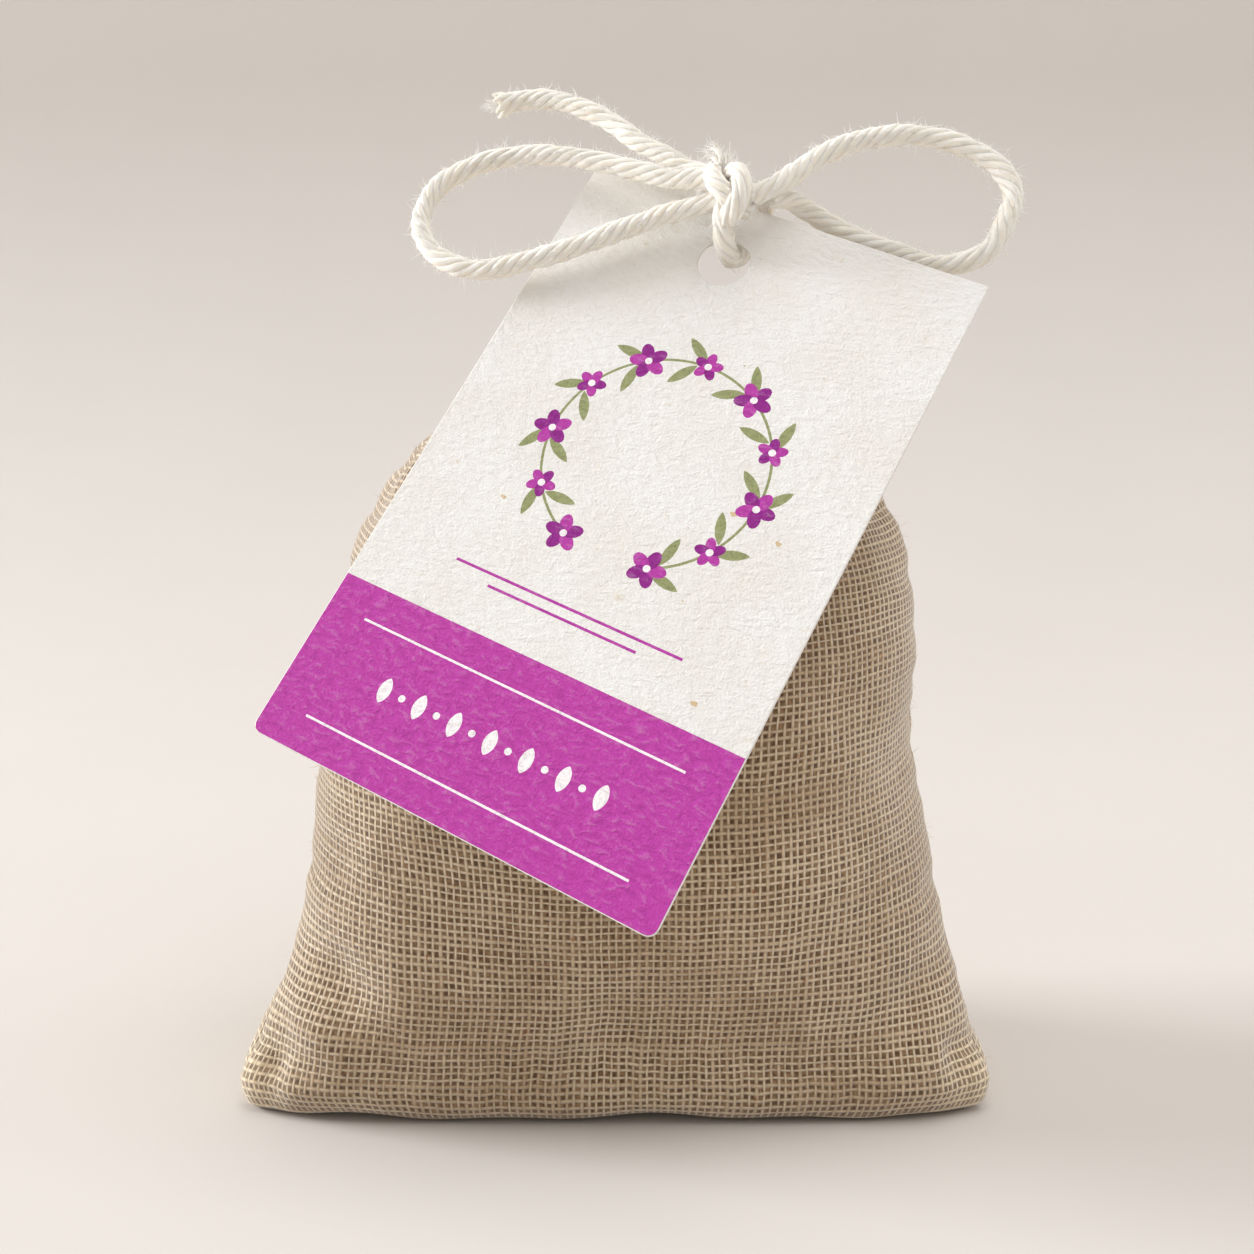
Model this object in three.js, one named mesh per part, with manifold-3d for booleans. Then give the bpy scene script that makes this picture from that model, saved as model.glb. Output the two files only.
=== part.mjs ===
// Lavender sachet: a stuffed cloth pouch, tied at the neck with twine, and a card tag on the bow.
// Millimetres, +Z up, the front faces -Y, the origin is on the floor under the middle of the base.
import * as THREE from "three";
import { mergeVertices } from "three/addons/utils/BufferGeometryUtils.js";
import Module from "manifold-3d";

const wasm = await Module();
wasm.setup();

// Clearances
const GAP = 0.3; // between pieces that touch on the real object
const CARD_REST_GAP = 0.35; // between the card's back and the cloth it lies on

// Cloth
const CLOTH = 0.7; // thickness of the woven cloth
const PLEATS = 9; // folds gathered round the neck
const COLUMNS = 30; // steps across each panel
const SOFTNESS = 0.6; // how gently the cloth flattens where the card lies on it

// Pouch sections from the floor up. Each is a rounded outline at one height:
// z height, x middle, half width, front y, side seam y, back y, roundness front and back, pleat depth
const SECTIONS = [
  { z: 0, x: -0.4, half: 41.2, front: -16.6, side: -14.1, back: 15, rf: 2.7, rb: 2.1, pleat: 0 },
  { z: 1.2, x: 0, half: 43, front: -17.4, side: -14.1, back: 16.6, rf: 2.7, rb: 2.1, pleat: 0 },
  { z: 3.5, x: 0, half: 43.5, front: -18, side: -13.8, back: 18.2, rf: 2.6, rb: 2.1, pleat: 0 },
  { z: 8, x: 0.1, half: 42, front: -18.8, side: -12.3, back: 20.2, rf: 2.5, rb: 2.1, pleat: 0 },
  { z: 16, x: 0.7, half: 39.6, front: -20, side: -9.5, back: 22, rf: 2.4, rb: 2.1, pleat: 0 },
  { z: 27, x: 0.7, half: 37.5, front: -21.1, side: -6, back: 23.8, rf: 2.3, rb: 2.1, pleat: 0 },
  { z: 40, x: 0.3, half: 36, front: -21.2, side: -2.4, back: 25.3, rf: 2.3, rb: 2.1, pleat: 0 },
  { z: 53, x: 1.1, half: 35.3, front: -17.9, side: 1, back: 26.2, rf: 2.3, rb: 2.1, pleat: 0 },
  { z: 63, x: 1.6, half: 34, front: -13.6, side: 3.5, back: 26.2, rf: 2.2, rb: 2.1, pleat: 0 },
  { z: 70, x: 1.5, half: 30.8, front: -10, side: 5.3, back: 25, rf: 2.1, rb: 2.1, pleat: 0.05 },
  { z: 75.5, x: 1.4, half: 26.6, front: -6.3, side: 7.2, back: 23.4, rf: 2, rb: 2, pleat: 0.15 },
  { z: 80, x: 1, half: 20.6, front: -1.9, side: 9.9, back: 22.6, rf: 2, rb: 2, pleat: 0.3 },
  { z: 84, x: 0.7, half: 12.6, front: 3.6, side: 12.6, back: 21.8, rf: 2, rb: 2, pleat: 0.45 },
  { z: 87, x: 0.5, half: 5.8, front: 8.9, side: 14.6, back: 20.4, rf: 2, rb: 2, pleat: 0.5 },
  { z: 95.4, x: 0.5, half: 5.5, front: 9.9, side: 15.4, back: 20.9, rf: 2, rb: 2, pleat: 0.5 },
  { z: 99.8, x: 1, half: 6.3, front: 13.2, side: 19.5, back: 25.8, rf: 2, rb: 2, pleat: 0.9 },
  { z: 103.8, x: 1.7, half: 6.2, front: 15.6, side: 22.8, back: 30.2, rf: 2, rb: 2, pleat: 1.2 },
];
const MOUTH_ROW = SECTIONS.length - 1;
const NECK_ROW = MOUTH_ROW - 3; // the section where the gathered neck begins
const BASE_INSET = 1.4; // from the front panel's outer face to the base's front edge

// Filling
const FILL_INSET = 1.15; // from the cloth's outer face to the buds
const FILL_TOP_ROW = NECK_ROW - 1; // the last section the buds reach
const EAR_INSET = 0.09; // share of the width at the base that the corners leave empty
const EAR_FADE = 9; // height over which the corners fill up

// Sewing thread
const THREAD = 0.5; // diameter
const SEAM_DEPTH = CLOTH + GAP + THREAD / 2; // from the cloth's outer face to a seam thread
const HEM_SHARE = 0.6; // where the hem thread runs between the last two sections
const HEM_LIFT = 0.95; // from the cloth to the hem thread's middle, measured outwards

// Card tag
const CARD_WIDTH = 51;
const CARD_HEIGHT = 82;
const CARD_THICK = 0.5;
const CARD_CORNER = 1.2; // radius of the two lower corners
const CARD_TOP_CORNER = 0.3; // radius of the two upper corners
const HOLE_DIAMETER = 6.35; // a quarter inch punch
const HOLE_ACROSS = -4.25; // from the card's middle
const HOLE_UP = 32.9; // from the card's middle
const CARD_MIDDLE = new THREE.Vector3(1.13, -10.7, 69.64); // middle of its front face
const CARD_LEAN = THREE.MathUtils.degToRad(28.8); // top leans back
const CARD_TURN = THREE.MathUtils.degToRad(11.4); // face turns to the left
const CARD_ROLL = THREE.MathUtils.degToRad(22.9); // top tips to the right

// Twine
const TWINE = 2.5; // diameter
const TWINE_SIDES = 8;
const WINDING_TURNS = 2.03;
const WINDING_PITCH = 2.95; // rise per turn
const WINDING_RADIUS = 7.95; // neck axis to the twine's middle
const WINDING_FOOT = 88.5; // height at which the winding starts
const WINDING_START = THREE.MathUtils.degToRad(-95); // angle round the neck, front is -90
const KNOT_ACROSS = -5.8; // knot middle, measured on the card
const KNOT_UP = 39.6;
const KNOT_OUT = 3.7;
const KNOT_HALF_WIDTH = 2.9;
const KNOT_RADIUS = 3.1;
const STRAP = 2.3; // diameter of the two straps that cross on the knot
const FRAYED_END = 1.6; // diameter of the short end, which has lost some yarns

// The card's own directions: across it, up it and out of its front face.
const cardOut = new THREE.Vector3(
  -Math.sin(CARD_TURN) * Math.cos(CARD_LEAN),
  -Math.cos(CARD_TURN) * Math.cos(CARD_LEAN),
  Math.sin(CARD_LEAN),
);
const level = new THREE.Vector3(Math.cos(CARD_TURN), -Math.sin(CARD_TURN), 0);
const rise = new THREE.Vector3().crossVectors(cardOut, level);
const cardAcross = level.clone().multiplyScalar(Math.cos(CARD_ROLL));
cardAcross.addScaledVector(rise, -Math.sin(CARD_ROLL));
const cardUp = level.clone().multiplyScalar(Math.sin(CARD_ROLL));
cardUp.addScaledVector(rise, Math.cos(CARD_ROLL));

// A point given by its distances across, up and out of the card.
function onCard([across, up, out]) {
  return CARD_MIDDLE.clone()
    .addScaledVector(cardAcross, across)
    .addScaledVector(cardUp, up)
    .addScaledVector(cardOut, out);
}

// Moves a point of the cloth behind the card that lies on it.
function behindCard(point) {
  const reach = point.clone().sub(CARD_MIDDLE).dot(cardOut) + CARD_THICK + CARD_REST_GAP;
  const push = SOFTNESS * Math.log1p(Math.exp(reach / SOFTNESS));
  return point.addScaledVector(cardOut, -push);
}

// A point on the outside of one section. The angle runs round it, with the front at 270 degrees.
function onSection(section, angle, pleated) {
  const c = Math.cos(angle);
  const s = Math.sin(angle);
  const power = 2 / (s < 0 ? section.rf : section.rb);
  const depth = s < 0 ? section.side - section.front : section.back - section.side;
  let x = section.half * Math.sign(c) * Math.abs(c) ** power;
  let y = depth * Math.sign(s) * Math.abs(s) ** power;
  if (pleated) {
    const grow = 1 + (section.pleat * Math.cos(PLEATS * angle)) / Math.hypot(x, y);
    x *= grow;
    y *= grow;
  }
  return behindCard(new THREE.Vector3(section.x + x, section.side + y, section.z));
}

// The outward direction of the cloth without its pleats.
function outward(row, angle) {
  const below = SECTIONS[Math.max(row - 1, 0)];
  const above = SECTIONS[Math.min(row + 1, MOUTH_ROW)];
  const climb = onSection(above, angle, false).sub(onSection(below, angle, false));
  const step = 0.01;
  const round = onSection(SECTIONS[row], angle + step, false);
  round.sub(onSection(SECTIONS[row], angle - step, false));
  return round.cross(climb).normalize();
}

// Angles across a panel at one section, which leave half the seam gap at each side.
function panelAngles(section, front) {
  const depth = front ? section.side - section.front : section.back - section.side;
  const round = front ? section.rf : section.rb;
  const edge = (GAP / 2 / depth) ** (round / 2);
  const first = front ? Math.PI : 0;
  return Array.from(
    { length: COLUMNS + 1 },
    (_, j) => first + edge + ((Math.PI - 2 * edge) * j) / COLUMNS,
  );
}

// A closed skin between two grids of points with the same rows and columns.
function skin(outer, inner) {
  const rows = outer.length;
  const columns = outer[0].length;
  const points = [...outer.flat(), ...inner.flat()];
  const far = rows * columns;
  const at = (i, j) => i * columns + j;
  const faces = [];
  const quad = (a, b, c, d) => faces.push(a, b, c, a, c, d);
  for (let i = 0; i + 1 < rows; i++) {
    for (let j = 0; j + 1 < columns; j++) {
      const ring = [at(i, j), at(i, j + 1), at(i + 1, j + 1), at(i + 1, j)];
      quad(...ring);
      quad(...ring.map((k) => k + far).reverse());
    }
    quad(at(i, 0), at(i + 1, 0), at(i + 1, 0) + far, at(i, 0) + far);
    const last = columns - 1;
    quad(at(i + 1, last), at(i, last), at(i, last) + far, at(i + 1, last) + far);
  }
  for (let j = 0; j + 1 < columns; j++) {
    quad(at(0, j + 1), at(0, j), at(0, j) + far, at(0, j + 1) + far);
    const top = rows - 1;
    quad(at(top, j), at(top, j + 1), at(top, j + 1) + far, at(top, j) + far);
  }
  return geometryOf(points, faces);
}

// A solid lofted through rings of points, closed by a fan at each end.
function loft(rings) {
  const count = rings[0].length;
  const points = rings.flat();
  const faces = [];
  for (let i = 0; i + 1 < rings.length; i++) {
    for (let j = 0; j < count; j++) {
      const a = i * count + j;
      const b = i * count + ((j + 1) % count);
      faces.push(a, b, b + count, a, b + count, a + count);
    }
  }
  for (const end of [0, rings.length - 1]) {
    const middle = points.length;
    const ring = rings[end];
    points.push(ring.reduce((sum, p) => sum.add(p), new THREE.Vector3()).divideScalar(count));
    for (let j = 0; j < count; j++) {
      const a = end * count + j;
      const b = end * count + ((j + 1) % count);
      faces.push(...(end === 0 ? [b, a, middle] : [a, b, middle]));
    }
  }
  return geometryOf(points, faces);
}

function geometryOf(points, faces) {
  const geometry = new THREE.BufferGeometry().setFromPoints(points);
  geometry.setIndex(faces);
  return geometry;
}

// A round tube along a smooth curve through the points.
function tube(points, diameter, steps, sides, closed = false) {
  const shape = new THREE.Shape();
  for (let k = 0; k < sides; k++) {
    const angle = (2 * Math.PI * k) / sides;
    const x = (diameter / 2) * Math.cos(angle);
    const y = (diameter / 2) * Math.sin(angle);
    if (k === 0) shape.moveTo(x, y);
    else shape.lineTo(x, y);
  }
  const extrudePath = new THREE.CatmullRomCurve3(points, closed, "centripetal");
  return new THREE.ExtrudeGeometry(shape, { steps, bevelEnabled: false, extrudePath });
}

// Turns a closed geometry into a solid for joining and cutting.
function solidOf(geometry) {
  const plain = geometry.clone();
  plain.deleteAttribute("normal");
  plain.deleteAttribute("uv");
  const merged = mergeVertices(plain, 1e-4);
  const vertProperties = merged.attributes.position.array;
  const triVerts = new Uint32Array(merged.index.array);
  return new wasm.Manifold(new wasm.Mesh({ numProp: 3, vertProperties, triVerts }));
}

function geometryFrom(solid) {
  const { vertProperties, triVerts } = solid.getMesh();
  const geometry = new THREE.BufferGeometry();
  geometry.setAttribute("position", new THREE.BufferAttribute(vertProperties, 3));
  geometry.setIndex(new THREE.BufferAttribute(triVerts, 1));
  return geometry;
}

// Front panel: from the bottom seam along the front lower edge up to the mouth.
function frontPanel() {
  const outer = [];
  const inner = [];
  SECTIONS.forEach((section, row) => {
    const angles = panelAngles(section, true);
    const line = angles.map((a) => onSection(section, a, true));
    outer.push(line);
    inner.push(
      line.map((p, j) => {
        const inside = p.clone().addScaledVector(outward(row, angles[j]), -CLOTH);
        if (row === MOUTH_ROW) inside.z = section.z;
        return inside;
      }),
    );
  });
  return skin(outer, inner);
}

// Back panel: the flat base from the bottom seam, then the back up to the mouth.
function backPanel() {
  const down = new THREE.Vector3(0, 0, -1);
  const foot = SECTIONS[0];
  const footAngles = panelAngles(foot, false);
  const edge = footAngles.map((a) => {
    const out = outward(0, -a).setZ(0).normalize();
    return onSection(foot, -a, false).addScaledVector(out, -BASE_INSET);
  });
  const outer = [edge];
  const inner = [edge.map((p) => p.clone().addScaledVector(down, -CLOTH))];
  SECTIONS.forEach((section, row) => {
    const angles = panelAngles(section, false);
    const line = angles.map((a) => onSection(section, a, true));
    outer.push(line);
    inner.push(
      line.map((p, j) => {
        const out = outward(row, angles[j]);
        const inside = p.clone();
        if (row === 0) {
          inside.addScaledVector(out.setZ(0).normalize(), -CLOTH);
          inside.z = CLOTH;
        } else {
          inside.addScaledVector(out, -CLOTH);
        }
        if (row === MOUTH_ROW) inside.z = section.z;
        return inside;
      }),
    );
  });
  return skin(outer, inner);
}

// Buds: the pouch's inside, short of the corners, the seams and the neck.
function lavenderFill() {
  const count = 2 * (COLUMNS - 4);
  const rings = [];
  for (let row = 1; row <= FILL_TOP_ROW; row++) {
    const section = SECTIONS[row];
    const ring = [];
    for (let j = 0; j < count; j++) {
      const angle = (2 * Math.PI * j) / count;
      const nearSeam = Math.exp(-((Math.sin(angle) / 0.3) ** 2));
      const low = Math.exp(-((section.z / 5) ** 2));
      const inset = FILL_INSET + 1.1 * nearSeam + 3 * low + section.pleat;
      const p = onSection(section, angle, false).addScaledVector(outward(row, angle), -inset);
      const share = EAR_INSET * Math.exp(-section.z / EAR_FADE);
      p.x -= (p.x - section.x) * share;
      if (row === 1) p.z = CLOTH + GAP + 0.1;
      ring.push(p);
    }
    rings.push(ring);
  }
  return loft(rings);
}

// Side seam thread: just inside the line where the two panels meet.
function sideSeamThread(angle) {
  const points = [];
  for (let row = 2; row <= NECK_ROW - 1; row++) {
    const p = onSection(SECTIONS[row], angle, false);
    points.push(p.addScaledVector(outward(row, angle), -SEAM_DEPTH - 0.15));
  }
  return tube(points, THREAD, 3 * points.length, 6);
}

// Bottom seam thread: along the front lower edge, just inside and above the base.
function bottomSeamThread() {
  const points = [];
  for (let j = 3; j <= COLUMNS - 3; j += 2) {
    const angle = Math.PI + (Math.PI * j) / COLUMNS;
    const p = onSection(SECTIONS[1], angle, false);
    p.addScaledVector(outward(1, angle).setZ(0).normalize(), -SEAM_DEPTH - 0.6);
    p.z = CLOTH + GAP + THREAD / 2 + 0.15;
    points.push(p);
  }
  return tube(points, THREAD, 2 * points.length, 6);
}

// Hem thread: one closed line of stitches round the gathered mouth.
function hemThread() {
  const low = SECTIONS[MOUTH_ROW - 1];
  const high = SECTIONS[MOUTH_ROW];
  const points = [];
  for (const front of [false, true]) {
    const lowAngles = panelAngles(low, front);
    const highAngles = panelAngles(high, front);
    for (let j = 0; j < COLUMNS; j++) {
      const p = onSection(low, lowAngles[j], true);
      p.lerp(onSection(high, highAngles[j], true), HEM_SHARE);
      const x = THREE.MathUtils.lerp(low.x, high.x, HEM_SHARE);
      const y = THREE.MathUtils.lerp(low.side, high.side, HEM_SHARE);
      const out = new THREE.Vector3(p.x - x, p.y - y, 0).normalize();
      points.push(p.addScaledVector(out, HEM_LIFT));
    }
  }
  return tube(points, THREAD, points.length, 6, true);
}

// Where the twine lies round the neck at a share of its winding.
function windingPoint(share) {
  const angle = WINDING_START - 2 * Math.PI * WINDING_TURNS * share;
  const z = WINDING_FOOT + WINDING_PITCH * WINDING_TURNS * share;
  const neck = SECTIONS[NECK_ROW];
  const top = SECTIONS[NECK_ROW + 1];
  const y = THREE.MathUtils.mapLinear(z, neck.z, top.z, neck.side, top.side);
  const x = neck.x + WINDING_RADIUS * Math.cos(angle);
  return new THREE.Vector3(x, y + WINDING_RADIUS * Math.sin(angle), z);
}

function neckWinding() {
  const steps = Math.round(24 * WINDING_TURNS);
  const points = Array.from({ length: steps + 1 }, (_, k) => windingPoint(k / steps));
  let least = Infinity;
  for (let i = 0; i < points.length; i++) {
    for (let j = i + 12; j < points.length; j++) {
      least = Math.min(least, points[i].distanceTo(points[j]) - TWINE);
    }
  }
  console.log("neck winding: least gap to itself " + least.toFixed(2) + " mm");
  return tube(points, TWINE, steps, 6);
}

// Routes of the free twine, as distances across, up and out of the card.
const LEFT_LOOP = [
  [-9.5, 39.9, 4.5],
  [-13.7, 38.8, 4],
  [-18.1, 38.7, 3.6],
  [-27.1, 38, 3],
  [-32.6, 36.7, 2.7],
  [-38.5, 33.3, 2.4],
  [-42, 28, 2.2],
  [-41.1, 22.8, 2.1],
  [-36.8, 19.6, 2.2],
  [-30.4, 19.7, 2.4],
  [-25.9, 22.6, 2.5],
  [-22.1, 25.7, 2.5],
  [-16.6, 31.1, 2.6],
  [-11.8, 35.3, 2.9],
  [-9.2, 37.1, 3.2],
];
const RIGHT_LOOP = [
  [-1.8, 41.9, 4.2],
  [-0.9, 44.6, 3.4],
  [1.4, 50.2, 2.2],
  [5.6, 54.7, 1.4],
  [10.1, 57.1, 0.7],
  [15.2, 57.8, 0.1],
  [20, 56.9, -0.6],
  [22.7, 54.5, -1.2],
  [23.3, 50.5, -1.8],
  [22.9, 46.8, -2.2],
  [20.3, 44.2, -2.6],
  [17.5, 43.2, -2.8],
  [13.6, 43.3, -2.9],
  [7.9, 43.5, -2.9],
  [3.7, 44, -2.5],
  [0.8, 44.2, -1.5],
  [-0.9, 43.6, 0.2],
];
const LONG_TAIL = [
  [-8.5, 41.8, 2.5],
  [-10.6, 42, 2.2],
  [-13.2, 42.1, 2],
  [-17.3, 42.9, 1.9],
  [-21.1, 43.6, 1.8],
  [-25.9, 45.2, 1.6],
  [-30.8, 46.1, 1.4],
  [-35.6, 46.1, 1.1],
  [-39.35, 44.8, 1],
  [-42.1, 42.8, 1],
];
const SHORT_TAIL = [
  [-9.2, 42.5, 5.5],
  [-9.6, 43.1, 5.6],
  [-10.1, 43.5, 5.5],
  [-10.8, 43.7, 5.2],
];
const TAG_LOOP = [
  [-5.3, 35.8, 3.8],
  [-5.15, 35.15, 3.4],
  [-4.8, 34.6, 2.1],
  [-4.4, 34.25, 0.5],
  [-4.25, 34.3, -0.9],
  [-4.1, 35.4, -2.35],
  [-4, 37.3, -3],
  [-3.9, 39.6, -3],
  [-3.9, 42, -2.6],
  [-3.9, 43.5, -1.4],
  [-3.9, 43.6, 0.2],
  [-4.1, 42.4, 1.6],
];

function free(route, diameter = TWINE) {
  const points = route.map(onCard);
  const length = new THREE.CatmullRomCurve3(points, false, "centripetal").getLength();
  const steps = Math.max(6, Math.round(length / (2.2 * diameter)));
  return tube(points, diameter, steps, TWINE_SIDES);
}

// Twine from an end of the winding, up behind the card and over its top edge to the knot.
function neckStrand(share, turn, route) {
  const end = windingPoint(share);
  const ahead = end.clone().sub(windingPoint(share - turn * 0.01)).normalize();
  const first = end.clone().addScaledVector(ahead, GAP);
  const second = first.clone().addScaledVector(ahead, TWINE * 0.8);
  return tube([first, second, ...route.map(onCard)], TWINE, 12, TWINE_SIDES);
}
const LEFT_STRAND = [
  [-22.1, 27.2, -2.6],
  [-21.3, 31.8, -2.5],
  [-17.4, 37.2, -2.7],
  [-13.4, 41.4, -3],
  [-10.9, 43.9, -2.4],
  [-9.8, 44.2, -1],
  [-9.6, 43.7, 0.1],
];
const RIGHT_STRAND = [
  [-8.4, 25.6, -3.7],
  [-9.1, 29.7, -2.8],
  [-10.4, 34.2, -2.8],
  [-9.4, 39, -3.1],
  [-7.6, 42.7, -2.6],
  [-6.8, 43.8, -0.9],
  [-6.9, 43.1, 0.7],
];

// Knot: a round body with two straps that cross on its front.
function bowKnot() {
  const body = new THREE.SphereGeometry(1, 18, 12);
  body.scale(KNOT_HALF_WIDTH, KNOT_RADIUS, KNOT_RADIUS);
  let solid = solidOf(body);
  for (const side of [-1, 1]) {
    const strap = [
      [side * 1.7, 2.5, 0.4],
      [side * 1.3, 2.1, 1.9],
      [side * 0.3, 0.4, side > 0 ? 2.7 : 2.2],
      [-side * 0.9, -1.5, 2.1],
      [-side * 1.5, -2.3, 0.4],
    ];
    const points = strap.map((p) => new THREE.Vector3(...p));
    solid = solid.add(solidOf(tube(points, STRAP, 8, TWINE_SIDES)));
  }
  const geometry = geometryFrom(solid);
  const place = new THREE.Matrix4().makeBasis(cardAcross, cardUp, cardOut);
  place.setPosition(onCard([KNOT_ACROSS, KNOT_UP, KNOT_OUT]));
  return geometry.applyMatrix4(place);
}

// Card: a rectangle with rounded lower corners and one punched hole.
function tagCard() {
  const x = CARD_WIDTH / 2;
  const y = CARD_HEIGHT / 2;
  const low = CARD_CORNER;
  const high = CARD_TOP_CORNER;
  const quarter = Math.PI / 2;
  const shape = new THREE.Shape();
  shape.absarc(x - low, low - y, low, -quarter, 0);
  shape.absarc(x - high, y - high, high, 0, quarter);
  shape.absarc(high - x, y - high, high, quarter, 2 * quarter);
  shape.absarc(low - x, low - y, low, 2 * quarter, 3 * quarter);
  shape.closePath();
  const hole = new THREE.Path();
  hole.absarc(HOLE_ACROSS, HOLE_UP, HOLE_DIAMETER / 2, 0, 2 * Math.PI);
  shape.holes.push(hole);
  const settings = { depth: CARD_THICK, bevelEnabled: false, curveSegments: 20 };
  const geometry = new THREE.ExtrudeGeometry(shape, settings).translate(0, 0, -CARD_THICK);
  const place = new THREE.Matrix4().makeBasis(cardAcross, cardUp, cardOut);
  return geometry.applyMatrix4(place.setPosition(CARD_MIDDLE));
}

const sachet = new THREE.Group();
sachet.name = "lavender_sachet";

function add(name, geometry, color, roughness) {
  const material = new THREE.MeshStandardMaterial({ color, roughness });
  material.name = name;
  const mesh = new THREE.Mesh(geometry, material);
  mesh.name = name;
  sachet.add(mesh);
}

const LINEN = 0xa8957b;
const COTTON = 0xeee6d8;
const SEWING = 0xb7a78d;
add("front_panel", frontPanel(), LINEN, 0.95);
add("back_panel", backPanel(), LINEN, 0.95);
add("lavender_fill", lavenderFill(), 0x6f5f86, 0.95);
add("left_seam_thread", sideSeamThread(Math.PI), SEWING, 0.8);
add("right_seam_thread", sideSeamThread(0), SEWING, 0.8);
add("bottom_seam_thread", bottomSeamThread(), SEWING, 0.8);
add("hem_thread", hemThread(), SEWING, 0.8);
add("neck_winding", neckWinding(), COTTON, 0.9);
add("left_neck_strand", neckStrand(1, 1, LEFT_STRAND), COTTON, 0.9);
add("right_neck_strand", neckStrand(0, -1, RIGHT_STRAND), COTTON, 0.9);
add("bow_knot", bowKnot(), COTTON, 0.9);
add("left_bow_loop", free(LEFT_LOOP), COTTON, 0.9);
add("right_bow_loop", free(RIGHT_LOOP), COTTON, 0.9);
add("long_tail", free(LONG_TAIL), COTTON, 0.9);
add("short_tail", free(SHORT_TAIL, FRAYED_END), COTTON, 0.9);
add("tag_loop", free(TAG_LOOP), COTTON, 0.9);
add("tag_card", tagCard(), 0xf0ead9, 0.85);

export default sachet;
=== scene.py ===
"""Looks of a tied linen sachet with a card tag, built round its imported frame.

Lengths are millimetres until they enter a mesh, a light or the camera.
"""

import logging
import math
from dataclasses import dataclass, field, replace
from enum import Enum
from typing import Optional, Sequence, Union

import bpy
import numpy as np
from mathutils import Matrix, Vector, geometry, noise


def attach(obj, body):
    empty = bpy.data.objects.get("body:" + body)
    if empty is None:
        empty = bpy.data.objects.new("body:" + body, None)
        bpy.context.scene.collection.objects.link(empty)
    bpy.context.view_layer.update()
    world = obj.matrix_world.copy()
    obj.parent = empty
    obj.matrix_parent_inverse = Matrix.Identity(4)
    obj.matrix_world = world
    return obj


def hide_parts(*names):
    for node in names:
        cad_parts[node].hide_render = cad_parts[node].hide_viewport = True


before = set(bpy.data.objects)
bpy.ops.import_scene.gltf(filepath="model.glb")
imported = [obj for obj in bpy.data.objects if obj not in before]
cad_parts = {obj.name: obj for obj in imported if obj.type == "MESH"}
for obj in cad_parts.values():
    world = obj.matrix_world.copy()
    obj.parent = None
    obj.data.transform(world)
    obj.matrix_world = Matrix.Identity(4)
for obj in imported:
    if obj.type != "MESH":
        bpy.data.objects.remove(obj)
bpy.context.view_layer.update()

LOG = logging.getLogger("sachet")
MM = 0.001
CENTIMETRE = 0.1
SEED = 17
CHART_LAYER = "OFBake"
CHART_MARGIN = 0.005
REST_STRIP = 0.02
REST_PITCH = 1 / 250
REST_CELLS = 240
FIBRE_STEPS = 6
FIBRE_SIDES = 3
FIBRE_CURL = 0.5
SHORTEST_FIBRE = 0.2
TINY = 1e-9

Array = np.ndarray
Material = bpy.types.Material
Node = bpy.types.Node
Object = bpy.types.Object
Socket = bpy.types.NodeSocket
Tree = bpy.types.NodeTree
Colour = tuple[float, float, float, float]
Value = Union[float, Sequence[float], Socket]
Pair = tuple[float, float]
Point = Sequence[float]
Route = tuple[Point, ...]


class Body(str, Enum):
    """Moving bodies of the frame."""

    POUCH = "pouch"
    BOW = "bow"
    TAG = "tag"


class Slot(str, Enum):
    """Material slots of the record."""

    LINEN = "linen"
    BUDS = "buds"
    THREAD = "sewing_thread"
    TWINE = "cotton_twine"
    CARD = "flecked_card"


class Side(Enum):
    """Panels of the pouch, with the angle at which each begins."""

    BACK = 0.0
    FRONT = math.pi


def srgb(red: int, green: int, blue: int) -> Colour:
    """Turn a colour of 0 to 255 into the linear values that a shader takes.

    Args:
        red: Red share.
        green: Green share.
        blue: Blue share.

    Returns:
        The linear colour with full alpha.
    """
    parts = [c / 255 for c in (red, green, blue)]
    low = [c / 12.92 if c <= 0.04045 else ((c + 0.055) / 1.055) ** 2.4 for c in parts]
    return (low[0], low[1], low[2], 1.0)


def unit(vectors: Array) -> Array:
    """Scale vectors to length one.

    Args:
        vectors: Any array whose last axis holds x, y and z.

    Returns:
        The scaled array.
    """
    return vectors / np.maximum(np.linalg.norm(vectors, axis=-1, keepdims=True), TINY)


def perlin(points: Array, scale: float, shift: float = 0.0) -> Array:
    """Smooth noise at each point.

    Args:
        points: Array whose last axis holds x, y and z.
        scale: How many waves there are in a millimetre.
        shift: Moves the pattern, so that two uses differ.

    Returns:
        Values of about -1 to 1, one for each point.
    """
    flat = points.reshape(-1, 3) * scale + shift
    values = np.array([noise.noise(Vector(p)) for p in flat])
    return values.reshape(points.shape[:-1])


def hermite(t: Array, low: Array, start: Array, high: Array, end: Array) -> Array:
    """Lead smoothly from one value to another.

    Args:
        t: Shares of the way.
        low: First value.
        start: Slope at the first value.
        high: Last value.
        end: Slope at the last value.

    Returns:
        The values on the way.
    """
    square, cube = t**2, t**3
    near = (2 * cube - 3 * square + 1) * low + (cube - 2 * square + t) * start
    return near + (3 * square - 2 * cube) * high + (cube - square) * end


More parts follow.
